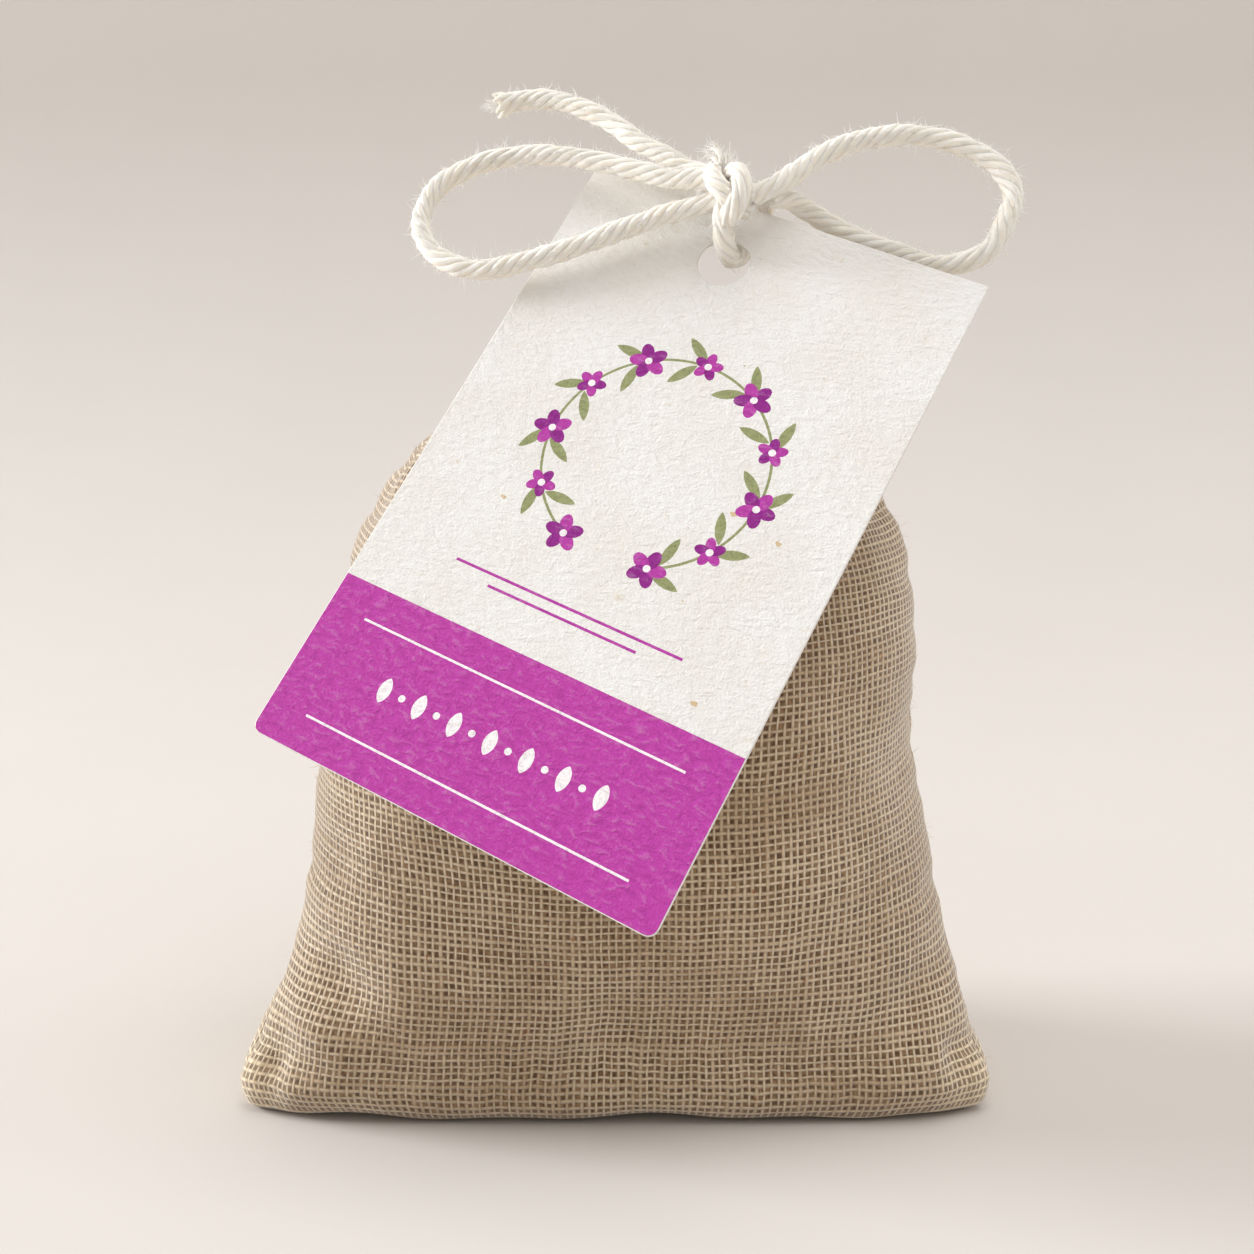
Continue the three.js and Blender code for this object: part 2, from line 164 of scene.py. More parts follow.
def smooth_path(points: Sequence[Point], step: float) -> Array:
    """Run a centripetal curve through points and resample it evenly.

    Args:
        points: Points that the curve passes.
        step: Distance between two samples.

    Returns:
        The samples, at least three.
    """
    knots = np.asarray(points, float)
    ends = np.vstack([2 * knots[0] - knots[1], knots, 2 * knots[-1] - knots[-2]])
    share = np.linspace(0, 1, 25)[:-1, None]
    pieces = []
    for p0, p1, p2, p3 in zip(ends, ends[1:], ends[2:], ends[3:]):
        steps = ((p0, p1), (p1, p2), (p2, p3))
        d0, d1, d2 = (math.sqrt(max(np.linalg.norm(b - a), 1e-6)) for a, b in steps)
        m1 = d1 * ((p1 - p0) / d0 - (p2 - p0) / (d0 + d1) + (p2 - p1) / d1)
        m2 = d1 * ((p2 - p1) / d1 - (p3 - p1) / (d1 + d2) + (p3 - p2) / d2)
        pieces.append(hermite(share, p1, m1, p2, m2))
    dense = np.vstack(pieces + [knots[-1:]])
    return resample(dense, step)


def run_along(path: Array) -> Array:
    """Measure how far each point lies along a line.

    Args:
        path: Points of the line.

    Returns:
        Distances from its start.
    """
    return np.concatenate([[0], np.cumsum(np.linalg.norm(np.diff(path, axis=0), axis=1))])


def resample(dense: Array, step: float) -> Array:
    """Space the points of a line evenly.

    Args:
        dense: Points of the line.
        step: Wanted distance between two points.

    Returns:
        The evenly spaced points.
    """
    run = run_along(dense)
    count = max(3, int(round(run[-1] / step)) + 1)
    at = np.linspace(0, run[-1], count)
    return np.stack([np.interp(at, run, dense[:, k]) for k in range(3)], axis=1)


def spoke(angle: Union[float, Array]) -> Array:
    """Find directions on the flat.

    Args:
        angle: One angle from the first axis, or several.

    Returns:
        A vector of length one for each angle.
    """
    return np.stack([np.cos(angle), np.sin(angle)], axis=-1)


def around(angle: Array, first: Array, second: Array) -> Array:
    """Find directions round a line.

    Args:
        angle: Angles from the first axis.
        first: First axis.
        second: Second axis.

    Returns:
        A vector for each angle.
    """
    return np.cos(angle)[..., None] * first + np.sin(angle)[..., None] * second


def path_frames(path: Array) -> tuple[Array, Array, Array]:
    """Carry a frame along a line without twisting it.

    Args:
        path: Points of the line.

    Returns:
        Tangents, normals and binormals at the points.
    """
    tangents = unit(np.gradient(path, axis=0))
    seed = np.eye(3)[int(np.argmin(np.abs(tangents[0])))]
    normal = seed - tangents[0] * (seed @ tangents[0])
    normals = []
    for tangent in tangents:
        normal = normal - tangent * (normal @ tangent)
        normal = normal / max(np.linalg.norm(normal), TINY)
        normals.append(normal)
    across = np.array(normals)
    return tangents, across, np.cross(tangents, across)


def grid_faces(rows: int, columns: int, closed: bool = False) -> Array:
    """Number the quads of a grid of points.

    Args:
        rows: Points along the first axis.
        columns: Points along the second axis.
        closed: Whether the last column joins the first.

    Returns:
        Four point numbers for each quad.
    """
    last = columns if closed else columns - 1
    i, j = np.meshgrid(np.arange(rows - 1), np.arange(last), indexing="ij")
    k = (j + 1) % columns
    quads = np.stack([i * columns + j, i * columns + k, (i + 1) * columns + k, (i + 1) * columns + j], -1)
    return quads.reshape(-1, 4)


def end_fans(rows: int, columns: int) -> Array:
    """Number the triangles that close both ends of a closed grid, each round a point added after it.

    Args:
        rows: Rings of the grid.
        columns: Points of each ring.

    Returns:
        Three point numbers for each triangle, the first end before the last.
    """
    first = np.arange(columns)
    after = (first + 1) % columns
    last = (rows - 1) * columns
    low, high = (np.full(columns, rows * columns + k) for k in (0, 1))
    return np.vstack([np.stack([after, first, low], 1), np.stack([first + last, after + last, high], 1)])


def grid_chart(rows: int, columns: int, low: float, high: float, closed: bool = False) -> Array:
    """Lay the quads of a grid out on a strip of the flat map, its rows along the whole map.

    Args:
        rows: Points along the first axis.
        columns: Points along the second axis.
        low: Lower edge of the strip.
        high: Upper edge of the strip.
        closed: Whether the last column joins the first.

    Returns:
        Places on the map for the four corners of each quad.
    """
    last = columns if closed else columns - 1
    i, j = np.meshgrid(np.arange(rows - 1), np.arange(last), indexing="ij")
    corners = [(i, j), (i, j + 1), (i + 1, j + 1), (i + 1, j)]
    length, width = (1 - 2 * CHART_MARGIN) / (rows - 1), (high - low) / last
    places = [np.stack([CHART_MARGIN + length * a, low + width * b], -1) for a, b in corners]
    return np.stack(places, axis=2).reshape(-1, 4, 2)


class MeshBuilder:
    """Gathers points and faces into one mesh, with a grain and a tone at each point and a flat map."""

    def __init__(self) -> None:
        """Start with an empty mesh."""
        self._points: list[Array] = []
        self._grain: list[Array] = []
        self._tone: list[Array] = []
        self._loops: list[Array] = []
        self._sizes: list[Array] = []
        self._charts: list[Array] = []
        self._count = 0

    def add(
        self,
        points: Array,
        faces: Sequence[Array],
        grain: Optional[Array] = None,
        tone: Optional[Array] = None,
        charts: Sequence[Array] = (),
    ) -> None:
        """Add a patch.

        Args:
            points: Its points.
            faces: Arrays of point numbers, each array with faces of one size.
            grain: Place on the cloth, ply or card, for the material.
            tone: Three shares that the material uses, for the whole patch or for each point.
            charts: Places on the flat map for the first arrays of faces. The rest share a narrow strip.
        """
        flat = np.asarray(points, float).reshape(-1, 3)
        blank = np.zeros((len(flat), 3))
        self._points.append(flat)
        self._grain.append(blank if grain is None else np.asarray(grain, float).reshape(-1, 3))
        self._tone.append(blank + (0 if tone is None else np.asarray(tone, float).reshape(-1, 3)))
        for number, block in enumerate(faces):
            self._loops.append((np.asarray(block, int) + self._count).ravel())
            self._sizes.append(np.full(len(block), block.shape[1]))
            chart = charts[number] if number < len(charts) else self.strip(*block.shape)
            self._charts.append(chart.reshape(-1, 2))
        self._count += len(flat)

    @staticmethod
    def strip(faces: int, corners: int) -> Array:
        """Place faces side by side on the narrow strip of the flat map.

        Args:
            faces: Number of faces.
            corners: Corners of each face.

        Returns:
            Places for all corners.
        """
        start = (np.arange(faces) % REST_CELLS) * REST_PITCH
        square = np.array([(0.0, 0.0), (0.9, 0.0), (0.9, 0.9), (0.0, 0.9)]) * (REST_PITCH, REST_STRIP)
        return square[None, :corners] + np.stack([start, np.zeros(faces)], axis=1)[:, None]

    def build(self, name: str) -> Object:
        """Make the object.

        Args:
            name: Name of the object and its mesh.

        Returns:
            The new object, linked to the scene.
        """
        mesh = bpy.data.meshes.new(name)
        loops, sizes = np.concatenate(self._loops), np.concatenate(self._sizes)
        mesh.vertices.add(self._count)
        mesh.vertices.foreach_set("co", (np.concatenate(self._points) * MM).astype(np.float32).ravel())
        mesh.loops.add(len(loops))
        mesh.loops.foreach_set("vertex_index", loops.astype(np.int32))
        mesh.polygons.add(len(sizes))
        starts = np.concatenate([[0], np.cumsum(sizes)[:-1]])
        mesh.polygons.foreach_set("loop_start", starts.astype(np.int32))
        mesh.update(calc_edges=True)
        for label, values in (("grain", self._grain), ("tone", self._tone)):
            layer = mesh.attributes.new(label, "FLOAT_VECTOR", "POINT")
            layer.data.foreach_set("vector", np.concatenate(values).astype(np.float32).ravel())
        chart = mesh.uv_layers.new(name=CHART_LAYER)
        chart.data.foreach_set("uv", np.concatenate(self._charts).astype(np.float32).ravel())
        mesh.shade_smooth()
        made = bpy.data.objects.new(name, mesh)
        bpy.context.scene.collection.objects.link(made)
        LOG.info("%s: %d faces", name, len(sizes))
        return made


def add_tube(
    builder: MeshBuilder,
    path: Array,
    radius: Union[float, Array],
    sides: int,
    grain: float = 0.0,
    chart: Pair = (REST_STRIP, 1.0),
) -> None:
    """Add a closed tube along a line.

    Args:
        builder: Mesh that takes the tube.
        path: Its middle line.
        radius: One radius, or one for each point.
        sides: Corners of its section.
        grain: Third grain value, which tells one tube from another.
        chart: Edges of its strip of the flat map.
    """
    _, normals, binormals = path_frames(path)
    count = len(path)
    turn = np.arange(sides) * 2 * math.pi / sides
    wide = np.broadcast_to(np.asarray(radius, float), (count,))[:, None, None]
    ring = around(turn[None], normals[:, None], binormals[:, None])
    points = (path[:, None] + wide * ring).reshape(-1, 3)
    run = run_along(path)
    marks = np.zeros((count, sides, 3))
    marks[..., 0] = run[:, None]
    marks[..., 1] = turn[None, :] / (2 * math.pi)
    marks[..., 2] = grain
    tips = np.vstack([path[:1], path[-1:]])
    tip_marks = np.array([[0, 0, grain], [run[-1], 0, grain]])
    builder.add(
        np.vstack([points, tips]),
        [grid_faces(count, sides, True), end_fans(count, sides)],
        np.vstack([marks.reshape(-1, 3), tip_marks]),
        charts=[grid_chart(count, sides, *chart, closed=True)],
    )


def add_hairs(
    builder: MeshBuilder,
    roots: Array,
    heading: Array,
    lengths: Array,
    rng: np.random.Generator,
    radius: float,
) -> None:
    """Add fine curved fibres, each a closed tube that thins towards its tip.

    Args:
        builder: Mesh that takes the fibres.
        roots: Where each fibre starts.
        heading: Which way each fibre starts.
        lengths: How long each fibre is; one shorter than SHORTEST_FIBRE is left out.
        rng: Source of the fibres' curls.
        radius: Radius at the root.
    """
    count, corners = len(roots), FIBRE_STEPS * FIBRE_SIDES
    heading = unit(heading)
    first = unit(np.cross(heading, rng.normal(size=(count, 3))))
    second = np.cross(heading, first)
    share = np.linspace(0, 1, FIBRE_STEPS)[None, :, None]
    size = lengths[:, None, None]
    limit = 1.3 * FIBRE_CURL
    swing = np.clip(rng.normal(0, FIBRE_CURL, (count, 2)), -limit, limit)[:, :, None, None]
    wave = rng.uniform(1.5, 4.5, (count, 1, 1))
    line = roots[:, None] + size * share * heading[:, None] * (1 - 0.25 * share)
    line = line + size * share**2 * swing[:, 0] * first[:, None]
    line = line + size * 0.3 * np.sin(wave * share) * share * swing[:, 1] * second[:, None]
    turn = np.arange(FIBRE_SIDES) * 2 * math.pi / FIBRE_SIDES
    thick = radius * (1 - 0.7 * share)[..., None]
    spokes = around(turn[None, None], first[:, None, None], second[:, None, None])
    keep = lengths > SHORTEST_FIBRE
    points = (line[:, :, None] + thick * spokes)[keep].reshape(-1, 3)
    quads = grid_faces(FIBRE_STEPS, FIBRE_SIDES, True)
    caps = np.array([[2, 1, 0], [corners - 3, corners - 2, corners - 1]])
    base = (np.arange(keep.sum()) * corners)[:, None, None]
    marks = np.repeat(rng.uniform(0, 40, (count, 3))[keep], corners, axis=0)
    faces = [(quads[None] + base).reshape(-1, 4), (caps[None] + base).reshape(-1, 3)]
    builder.add(points, faces, marks, np.array([0.0, 0.0, 1.0]))


@dataclass(frozen=True)
class Graph:
    """Adds nodes to one tree: a plain value is set on a socket and a socket is linked to it."""

    tree: Tree

    def fill(self, node: Node, values: dict) -> None:
        """Set or link the inputs of a node.

        Args:
            node: The node.
            values: Input sockets by name or number, each with a value or a socket.
        """
        for key, value in values.items():
            if isinstance(value, Socket):
                self.tree.links.new(value, node.inputs[key])
            else:
                node.inputs[key].default_value = value

    def node(self, kind: str, values: Optional[dict] = None, **settings: object) -> Node:
        """Add a node.

        Args:
            kind: Its type, without the common prefix.
            values: Input sockets by name or number, each with a value or a socket.
            **settings: Properties of the node.

        Returns:
            The new node.
        """
        made = self.tree.nodes.new("ShaderNode" + kind)
        for name, value in settings.items():
            setattr(made, name, value)
        self.fill(made, values or {})
        return made

    def math(self, operation: str, a: Value, b: Value = 0.5, c: Value = 0.0) -> Socket:
        """Add a math node and give its result."""
        return self.node("Math", {0: a, 1: b, 2: c}, operation=operation).outputs[0]

    def vector(self, operation: str, a: Value, b: Value, c: Value = (0.0, 0.0, 0.0)) -> Socket:
        """Add a vector math node and give its vector."""
        return self.node("VectorMath", {0: a, 1: b, 2: c}, operation=operation).outputs[0]

    def mix(self, share: Value, a: Value, b: Value, blend: str = "MIX") -> Socket:
        """Mix two colours by the share of the second."""
        made = self.node("Mix", {0: share, 6: a, 7: b}, data_type="RGBA", blend_type=blend)
        return made.outputs[2]

    def blend(self, share: Value, a: Value, b: Value) -> Socket:
        """Mix two numbers by the share of the second."""
        return self.node("Mix", {0: share, 2: a, 3: b}, data_type="FLOAT").outputs[0]

    def noise(self, place: Value, scale: float, detail: float = 2.0, bend: float = 0.0) -> Node:
        """Add a noise texture with so many waves in a unit of place."""
        values = {"Vector": place, "Scale": scale, "Detail": detail, "Distortion": bend}
        return self.node("TexNoise", values)

    def remap(self, value: Value, low: float, high: float, start: float = 0.0, end: float = 1.0) -> Socket:
        """Map the range from low to high smoothly onto the one from start to end."""
        values = {"Value": value, "From Min": low, "From Max": high, "To Min": start, "To Max": end}
        return self.node("MapRange", values, interpolation_type="SMOOTHSTEP").outputs[0]

    def chance(self, number: Value) -> Socket:
        """Draw a share of 0 to 1 that is the same wherever the number is."""
        return self.node("TexWhiteNoise", {"W": number}, noise_dimensions="1D").outputs["Value"]

    def bump(self, strength: float, distance: Value, height: Value) -> Socket:
        """Turn heights into a normal; the distance is in metres."""
        return self.node("Bump", {"Strength": strength, "Distance": distance, "Height": height}).outputs[0]

    def attribute(self, name: str) -> Socket:
        """Read a vector stored on the mesh."""
        return self.node("Attribute", attribute_name=name).outputs["Vector"]

    def parts(self, vector: Value) -> Sequence[Socket]:
        """Split a vector."""
        return self.node("SeparateXYZ", {0: vector}).outputs

    def join(self, x: Value, y: Value, z: Value) -> Socket:
        """Make a vector of three numbers."""
        return self.node("CombineXYZ", {0: x, 1: y, 2: z}).outputs[0]

    def group(self, tree: Tree, values: dict) -> Node:
        """Use a node group.

        Args:
            tree: The group.
            values: Its inputs by name.

        Returns:
            The group node.
        """
        made = self.tree.nodes.new("ShaderNodeGroup")
        made.node_tree = tree
        self.fill(made, values)
        return made


class Effect:
    """A shader node group under construction."""

    def __init__(self, name: str, inputs: dict[str, str], outputs: dict[str, str]) -> None:
        """Start a group with its sockets.

        Args:
            name: Name of the group.
            inputs: Kinds of its inputs by name.
            outputs: Kinds of its outputs by name.
        """
        self.tree = bpy.data.node_groups.new(name, "ShaderNodeTree")
        for way, sockets in (("INPUT", inputs), ("OUTPUT", outputs)):
            for label, kind in sockets.items():
                self.tree.interface.new_socket(name=label, in_out=way, socket_type="NodeSocket" + kind)
        self.graph = Graph(self.tree)
        self.source = self.tree.nodes.new("NodeGroupInput").outputs
        self._sink = self.tree.nodes.new("NodeGroupOutput").inputs

    def send(self, **results: Socket) -> Tree:
        """Link the results.

        Args:
            **results: A socket for each output.

        Returns:
            The finished group.
        """
        for label, socket in results.items():
            self.tree.links.new(socket, self._sink[label])
        return self.tree


def weave_effect() -> Tree:
    """Make the plain weave: threads of uneven width that cross over and under, with holes between.

    Returns:
        A group with Height, Hole, Tint and Under, which varies the lower layer seen in the holes; the linen
        paints that layer in shade.
    """
    effect = Effect(
        "plain_weave",
        {"Place": "Vector", "Across": "Float", "Along": "Float", "Thread": "Float"},
        {"Height": "Float", "Hole": "Float", "Tint": "Float", "Under": "Float"},
    )
    g, source = effect.graph, effect.source
    bent = source["Place"]
    for scale, reach in ((0.16, 0.45), (1.1, 0.1)):
        drift = g.vector("SUBTRACT", g.noise(source["Place"], scale, 1.0).outputs["Color"], (0.5, 0.5, 0.5))
        bent = g.vector("MULTIPLY_ADD", drift, (reach, reach, 0.0), bent)
    x, y, _ = g.parts(bent)
    warp = g.math("DIVIDE", x, source["Across"])
    weft = g.math("DIVIDE", y, source["Along"])
    masks, heights, tints = [], [], []
    for own, other, run, seed, sign, uneven in (
        (warp, weft, y, 0.0, 1.0, 0.18),
        (weft, warp, x, 31.0, -1.0, 0.22),
    ):
        index = g.math("FLOOR", own)
        tint = g.chance(g.math("ADD", index, seed))
        shift = g.chance(g.math("ADD", index, seed + 57.3))
        slub = g.noise(g.join(g.math("MULTIPLY", index, 3.7), g.math("MULTIPLY", run, 0.2), seed), 1.0, 2.0)
        width = g.math("MULTIPLY_ADD", tint, uneven, source["Thread"])
        width = g.math("MULTIPLY_ADD", g.math("SUBTRACT", slub.outputs[0], 0.55), 0.6, width)
        middle = g.math("MULTIPLY_ADD", shift, 0.16, 0.42)
        offset = g.math("ABSOLUTE", g.math("SUBTRACT", g.math("FRACT", own), middle))
        reach = g.math("DIVIDE", g.math("MULTIPLY", offset, 2.0), width)
        round_off = g.math("SUBTRACT", 1.0, g.math("MULTIPLY", reach, reach))
        crown = g.math("SQRT", g.math("MAXIMUM", round_off, 0.0))
        parity = g.math("MULTIPLY_ADD", g.math("FLOORED_MODULO", index, 2.0), -2.0 * sign, sign)
        over = g.math("MULTIPLY", g.math("SINE", g.math("MULTIPLY", other, math.pi)), parity)
        mask = g.remap(reach, 1.3, 0.65)
        lift = g.math("MULTIPLY_ADD", over, 0.2, g.math("MULTIPLY", crown, 0.75))
        heights.append(g.math("MULTIPLY", mask, lift))
        masks.append(mask)
        tints.append(tint)
    top = g.math("GREATER_THAN", heights[0], heights[1])
    return effect.send(
        Height=g.math("MAXIMUM", heights[0], heights[1]),
        Hole=g.math("SUBTRACT", 1.0, g.math("MAXIMUM", masks[0], masks[1])),
        Tint=g.blend(top, tints[1], tints[0]),
        Under=g.noise(g.vector("MULTIPLY", source["Place"], (1.6, 1.0, 1.0)), 1.3, 2.0).outputs[0],
    )


def paper_effect() -> Tree:
    """Make the felted surface of handmade paper, with its fibres and flecks.

    Returns:
        A group with Height, Fibre, Fleck and Cloud.
    """
    effect = Effect(
        "felted_paper",
        {"Place": "Vector"},
        {"Height": "Float", "Fibre": "Float", "Fleck": "Float", "Cloud": "Float"},
    )
    g, place = effect.graph, effect.source["Place"]
    bent = g.vector("MULTIPLY_ADD", g.noise(place, 0.35, 1.0).outputs["Color"], (1.6, 1.6, 0.0), place)
    felt = g.noise(g.vector("MULTIPLY", bent, (0.75, 1.7, 1.0)), 0.95, 2.5, 0.35).outputs[0]
    grain = g.noise(place, 3.4, 2.0).outputs[0]
    ridges = []
    for scale, shift in ((0.42, 3.0), (0.7, 17.0)):
        wave = g.noise(g.vector("ADD", place, (shift, shift, 0.0)), scale, 1.0, 1.1).outputs[0]
        edge = g.math("ABSOLUTE", g.math("SUBTRACT", wave, 0.5))
        patches = g.noise(g.vector("ADD", place, (0.0, 3 * shift, 0.0)), 0.3, 1.0).outputs[0]
        gate = g.remap(patches, 0.64, 0.7)
        ridges.append(g.math("MULTIPLY", g.remap(edge, 0.01, 0.003), gate))
    ragged = g.vector("MULTIPLY_ADD", g.noise(place, 2.2, 1.0).outputs["Color"], (0.5, 0.5, 0.0), place)
    flecks = []
    for scale, stretch, largest, strength in ((0.16, 1.7, 0.075, 1.0), (0.36, 3.2, 0.1, 0.45)):
        squeezed = g.vector("MULTIPLY", ragged, (1.0, stretch, 1.0))
        cells = g.node("TexVoronoi", {"Vector": squeezed, "Scale": scale})
        pick = g.node("SeparateColor", {0: cells.outputs["Color"]}).outputs
        size = g.remap(pick[0], 0.45, 1.0, 0.0, largest)
        spot = g.math("GREATER_THAN", size, cells.outputs["Distance"])
        flecks.append(g.math("MULTIPLY", spot, strength))
    return effect.send(
        Height=g.math("MULTIPLY_ADD", grain, 0.3, g.math("MULTIPLY", felt, 0.7)),
        Fibre=g.math("MAXIMUM", ridges[0], ridges[1]),
        Fleck=g.math("MAXIMUM", flecks[0], flecks[1]),
        Cloud=g.noise(place, 0.09, 2.0).outputs[0],
    )


def fibre_effect() -> Tree:
    """Make the fine streaks of spun fibre that run along a ply.

    Returns:
        A group with Height and Tint.
    """
    effect = Effect("spun_fibre", {"Place": "Vector"}, {"Height": "Float", "Tint": "Float"})
    g = effect.graph
    along, around, ply = g.parts(effect.source["Place"])
    turn = g.math("ADD", g.math("MULTIPLY", around, 2 * math.pi), g.math("MULTIPLY", along, 0.5))
    ring = g.join(g.math("COSINE", turn), g.math("SINE", turn), g.math("MULTIPLY", along, 0.12))
    place = g.vector("ADD", ring, g.join(0.0, 0.0, g.math("MULTIPLY", ply, 7.3)))
    fine = g.noise(place, 7.0, 3.0).outputs[0]
    broad = g.noise(place, 2.4, 2.0).outputs[0]
    return effect.send(Height=g.math("ADD", fine, g.math("MULTIPLY", broad, 0.6)), Tint=broad)


def new_material(name: str) -> tuple[Material, Graph, Node]:
    """Start a material.

    Args:
        name: Its name.

    Returns:
        The material, its graph and its surface shader.
    """
    material = bpy.data.materials.new(name)
    material.use_nodes = True
    graph = Graph(material.node_tree)
    return material, graph, material.node_tree.nodes["Principled BSDF"]


@dataclass(frozen=True)
class LinenFinish:
    """Undyed open linen: the grain is the place on the cloth, the tone its ears, its wear and its hairs;
    the ears are painted lighter and warmer as backlit glow.
    """

    light: Colour = srgb(219, 197, 167)
    dark: Colour = srgb(170, 142, 109)
    # Painted shade: hole and under colour the gaps of the weave as the shaded layer seen through them.
    hole: Colour = srgb(90, 62, 36)
    under: Colour = srgb(150, 118, 84)
    # Painted backlit glow: the ears are painted lighter and warmer than the yarn.
    backlit_ear: Colour = srgb(240, 218, 184)
    fleck: Colour = srgb(168, 108, 56)
    lint: Colour = srgb(240, 236, 230)
    across: float = 0.82
    along: float = 0.82
    thread: float = 0.38
    relief: float = 0.00026

    def material(self, effect: Tree) -> Material:
        """Make the material.

        Args:
            effect: Node group of its texture.

        Returns:
            The material.
        """
        material, g, shader = new_material("linen")
        place, tone = g.attribute("grain"), g.attribute("tone")
        backlit_ear, wear, hair = g.parts(tone)
        values = {"Place": place, "Across": self.across, "Along": self.along, "Thread": self.thread}
        weave = g.group(effect, values).outputs
        cloud = g.noise(place, 0.06, 3.0).outputs[0]
        shade = g.math("ADD", g.math("MULTIPLY", weave["Tint"], 0.6), g.remap(cloud, 0.35, 0.65, -0.1, 0.3))
        yarn = g.mix(shade, self.light, self.dark)
        # Painted backlit glow on the ears.
        yarn = g.mix(backlit_ear, yarn, self.backlit_ear)
        spot = g.noise(g.vector("MULTIPLY", place, (1.0, 0.45, 1.0)), 0.8, 1.0).outputs[0]
        yarn = g.mix(g.remap(spot, 0.765, 0.79, 0.0, 0.8), yarn, self.fleck)
        # Painted shade and highlight: the yarn is darkened to 0.62 in the hollows of the weave and lifted
        # to 1.12 on the thread crowns.
        depth = g.remap(weave["Height"], 0.1, 0.95, 0.62, 1.12)
        yarn = g.mix(1.0, yarn, g.join(depth, depth, depth), "MULTIPLY")
        # The ears also show fewer of the painted-shade gaps.
        filled = g.math("SUBTRACT", 1.0, g.math("MULTIPLY", backlit_ear, 0.45))
        open_share = g.math("MULTIPLY", weave["Hole"], filled)
        # Painted shade in the weave's gaps, varied by the Under noise.
        gap = g.mix(g.remap(weave["Under"], 0.35, 0.7), self.hole, self.under)
        cloth = g.mix(open_share, yarn, gap)
        cloth = g.mix(wear, cloth, self.dark)
        cloth = g.mix(hair, cloth, self.light)
        g.fill(
            shader,
            {
                "Base Color": cloth,
                "Roughness": g.remap(weave["Hole"], 0.0, 1.0, 0.82, 1.0),
                "Specular IOR Level": 0.18,
                "Sheen Weight": 1.0,
                "Sheen Roughness": 0.5,
                "Sheen Tint": self.lint,
                "Normal": g.bump(0.9, self.relief, weave["Height"]),
            },
        )
        return material


@dataclass(frozen=True)
class TwineFinish:
    """Soft ivory cotton: the grain runs along and round each ply, the tone marks loose fibres."""

    light: Colour = srgb(254, 249, 241)
    warm: Colour = srgb(251, 238, 217)
    loose: Colour = srgb(252, 249, 244)
    relief: float = 0.00012
    soft_depth: float = 0.0007

    def material(self, effect: Tree) -> Material:
        """Make the material.

        Args:
            effect: Node group of its texture.

        Returns:
            The material.
        """
        material, g, shader = new_material("cotton_twine")
        spun = g.group(effect, {"Place": g.attribute("grain")}).outputs
        _, _, hair = g.parts(g.attribute("tone"))
        colour = g.mix(g.remap(spun["Tint"], 0.35, 0.7, 0.0, 0.75), self.light, self.warm)
        colour = g.mix(hair, colour, self.loose)
        g.fill(
            shader,
            {
                "Base Color": colour,
                "Roughness": g.remap(spun["Height"], 0.4, 1.2, 0.72, 0.9),
                "Specular IOR Level": 0.2,
                "Subsurface Weight": 0.3,
                "Subsurface Radius": (1.0, 0.8, 0.6),
                "Subsurface Scale": self.soft_depth,
                "Sheen Weight": 0.45,
                "Sheen Roughness": 0.45,
                "Sheen Tint": self.loose,
                "Normal": g.bump(0.65, self.relief, spun["Height"]),
            },
        )
        return material


@dataclass(frozen=True)
class CardFinish:
    """Cream flecked card: the grain is the place on the card, the ink colour is stored on its faces; the
    felt's hollows carry painted shade and its ridges painted highlight.
    """

    base: Colour = srgb(239, 237, 234)
    cloud: Colour = srgb(231, 227, 220)
    fibre: Colour = srgb(222, 204, 170)
    fleck: Colour = srgb(205, 172, 112)
    shade: Colour = (0.05, 0.0, 0.04, 1.0)
    relief: float = 0.00026
    ink_relief: float = 0.0003

    def material(self, effect: Tree) -> Material:
        """Make the material.

        Args:
            effect: Node group of its texture.

        Returns:
            The material.
        """
        material, g, shader = new_material("flecked_card")
        ink = g.node("Attribute", attribute_name="ink").outputs
        paper = g.group(effect, {"Place": g.attribute("grain")}).outputs
        colour = g.mix(g.remap(paper["Cloud"], 0.35, 0.7, 0.0, 0.6), self.base, self.cloud)
        # Painted shade: the paper is darkened towards the cloud colour in the hollows of its felt.
        colour = g.mix(g.remap(paper["Height"], 0.35, 0.55, 0.4, 0.0), colour, self.cloud)
        colour = g.mix(g.math("MULTIPLY", paper["Fibre"], 0.45), colour, self.fibre)
        colour = g.mix(g.math("MULTIPLY", paper["Fleck"], 0.75), colour, self.fleck)
        # Painted shade and highlight on the ink: darkened towards near black in the felt's hollows and
        # lightened towards the paper on its ridges.
        shaded_ink = g.mix(g.remap(paper["Height"], 0.35, 0.5, 0.14, 0.0), ink["Color"], self.shade)
        shaded_ink = g.mix(g.remap(paper["Height"], 0.5, 0.68, 0.0, 0.1), shaded_ink, self.base)
        relief = g.blend(ink["Alpha"], self.relief, self.ink_relief)
        g.fill(
            shader,
            {
                "Base Color": g.mix(ink["Alpha"], colour, shaded_ink),
                "Roughness": g.blend(ink["Alpha"], 0.88, 0.7),
                "Specular IOR Level": 0.25,
                "Normal": g.bump(0.9, relief, paper["Height"]),
            },
        )
        return material


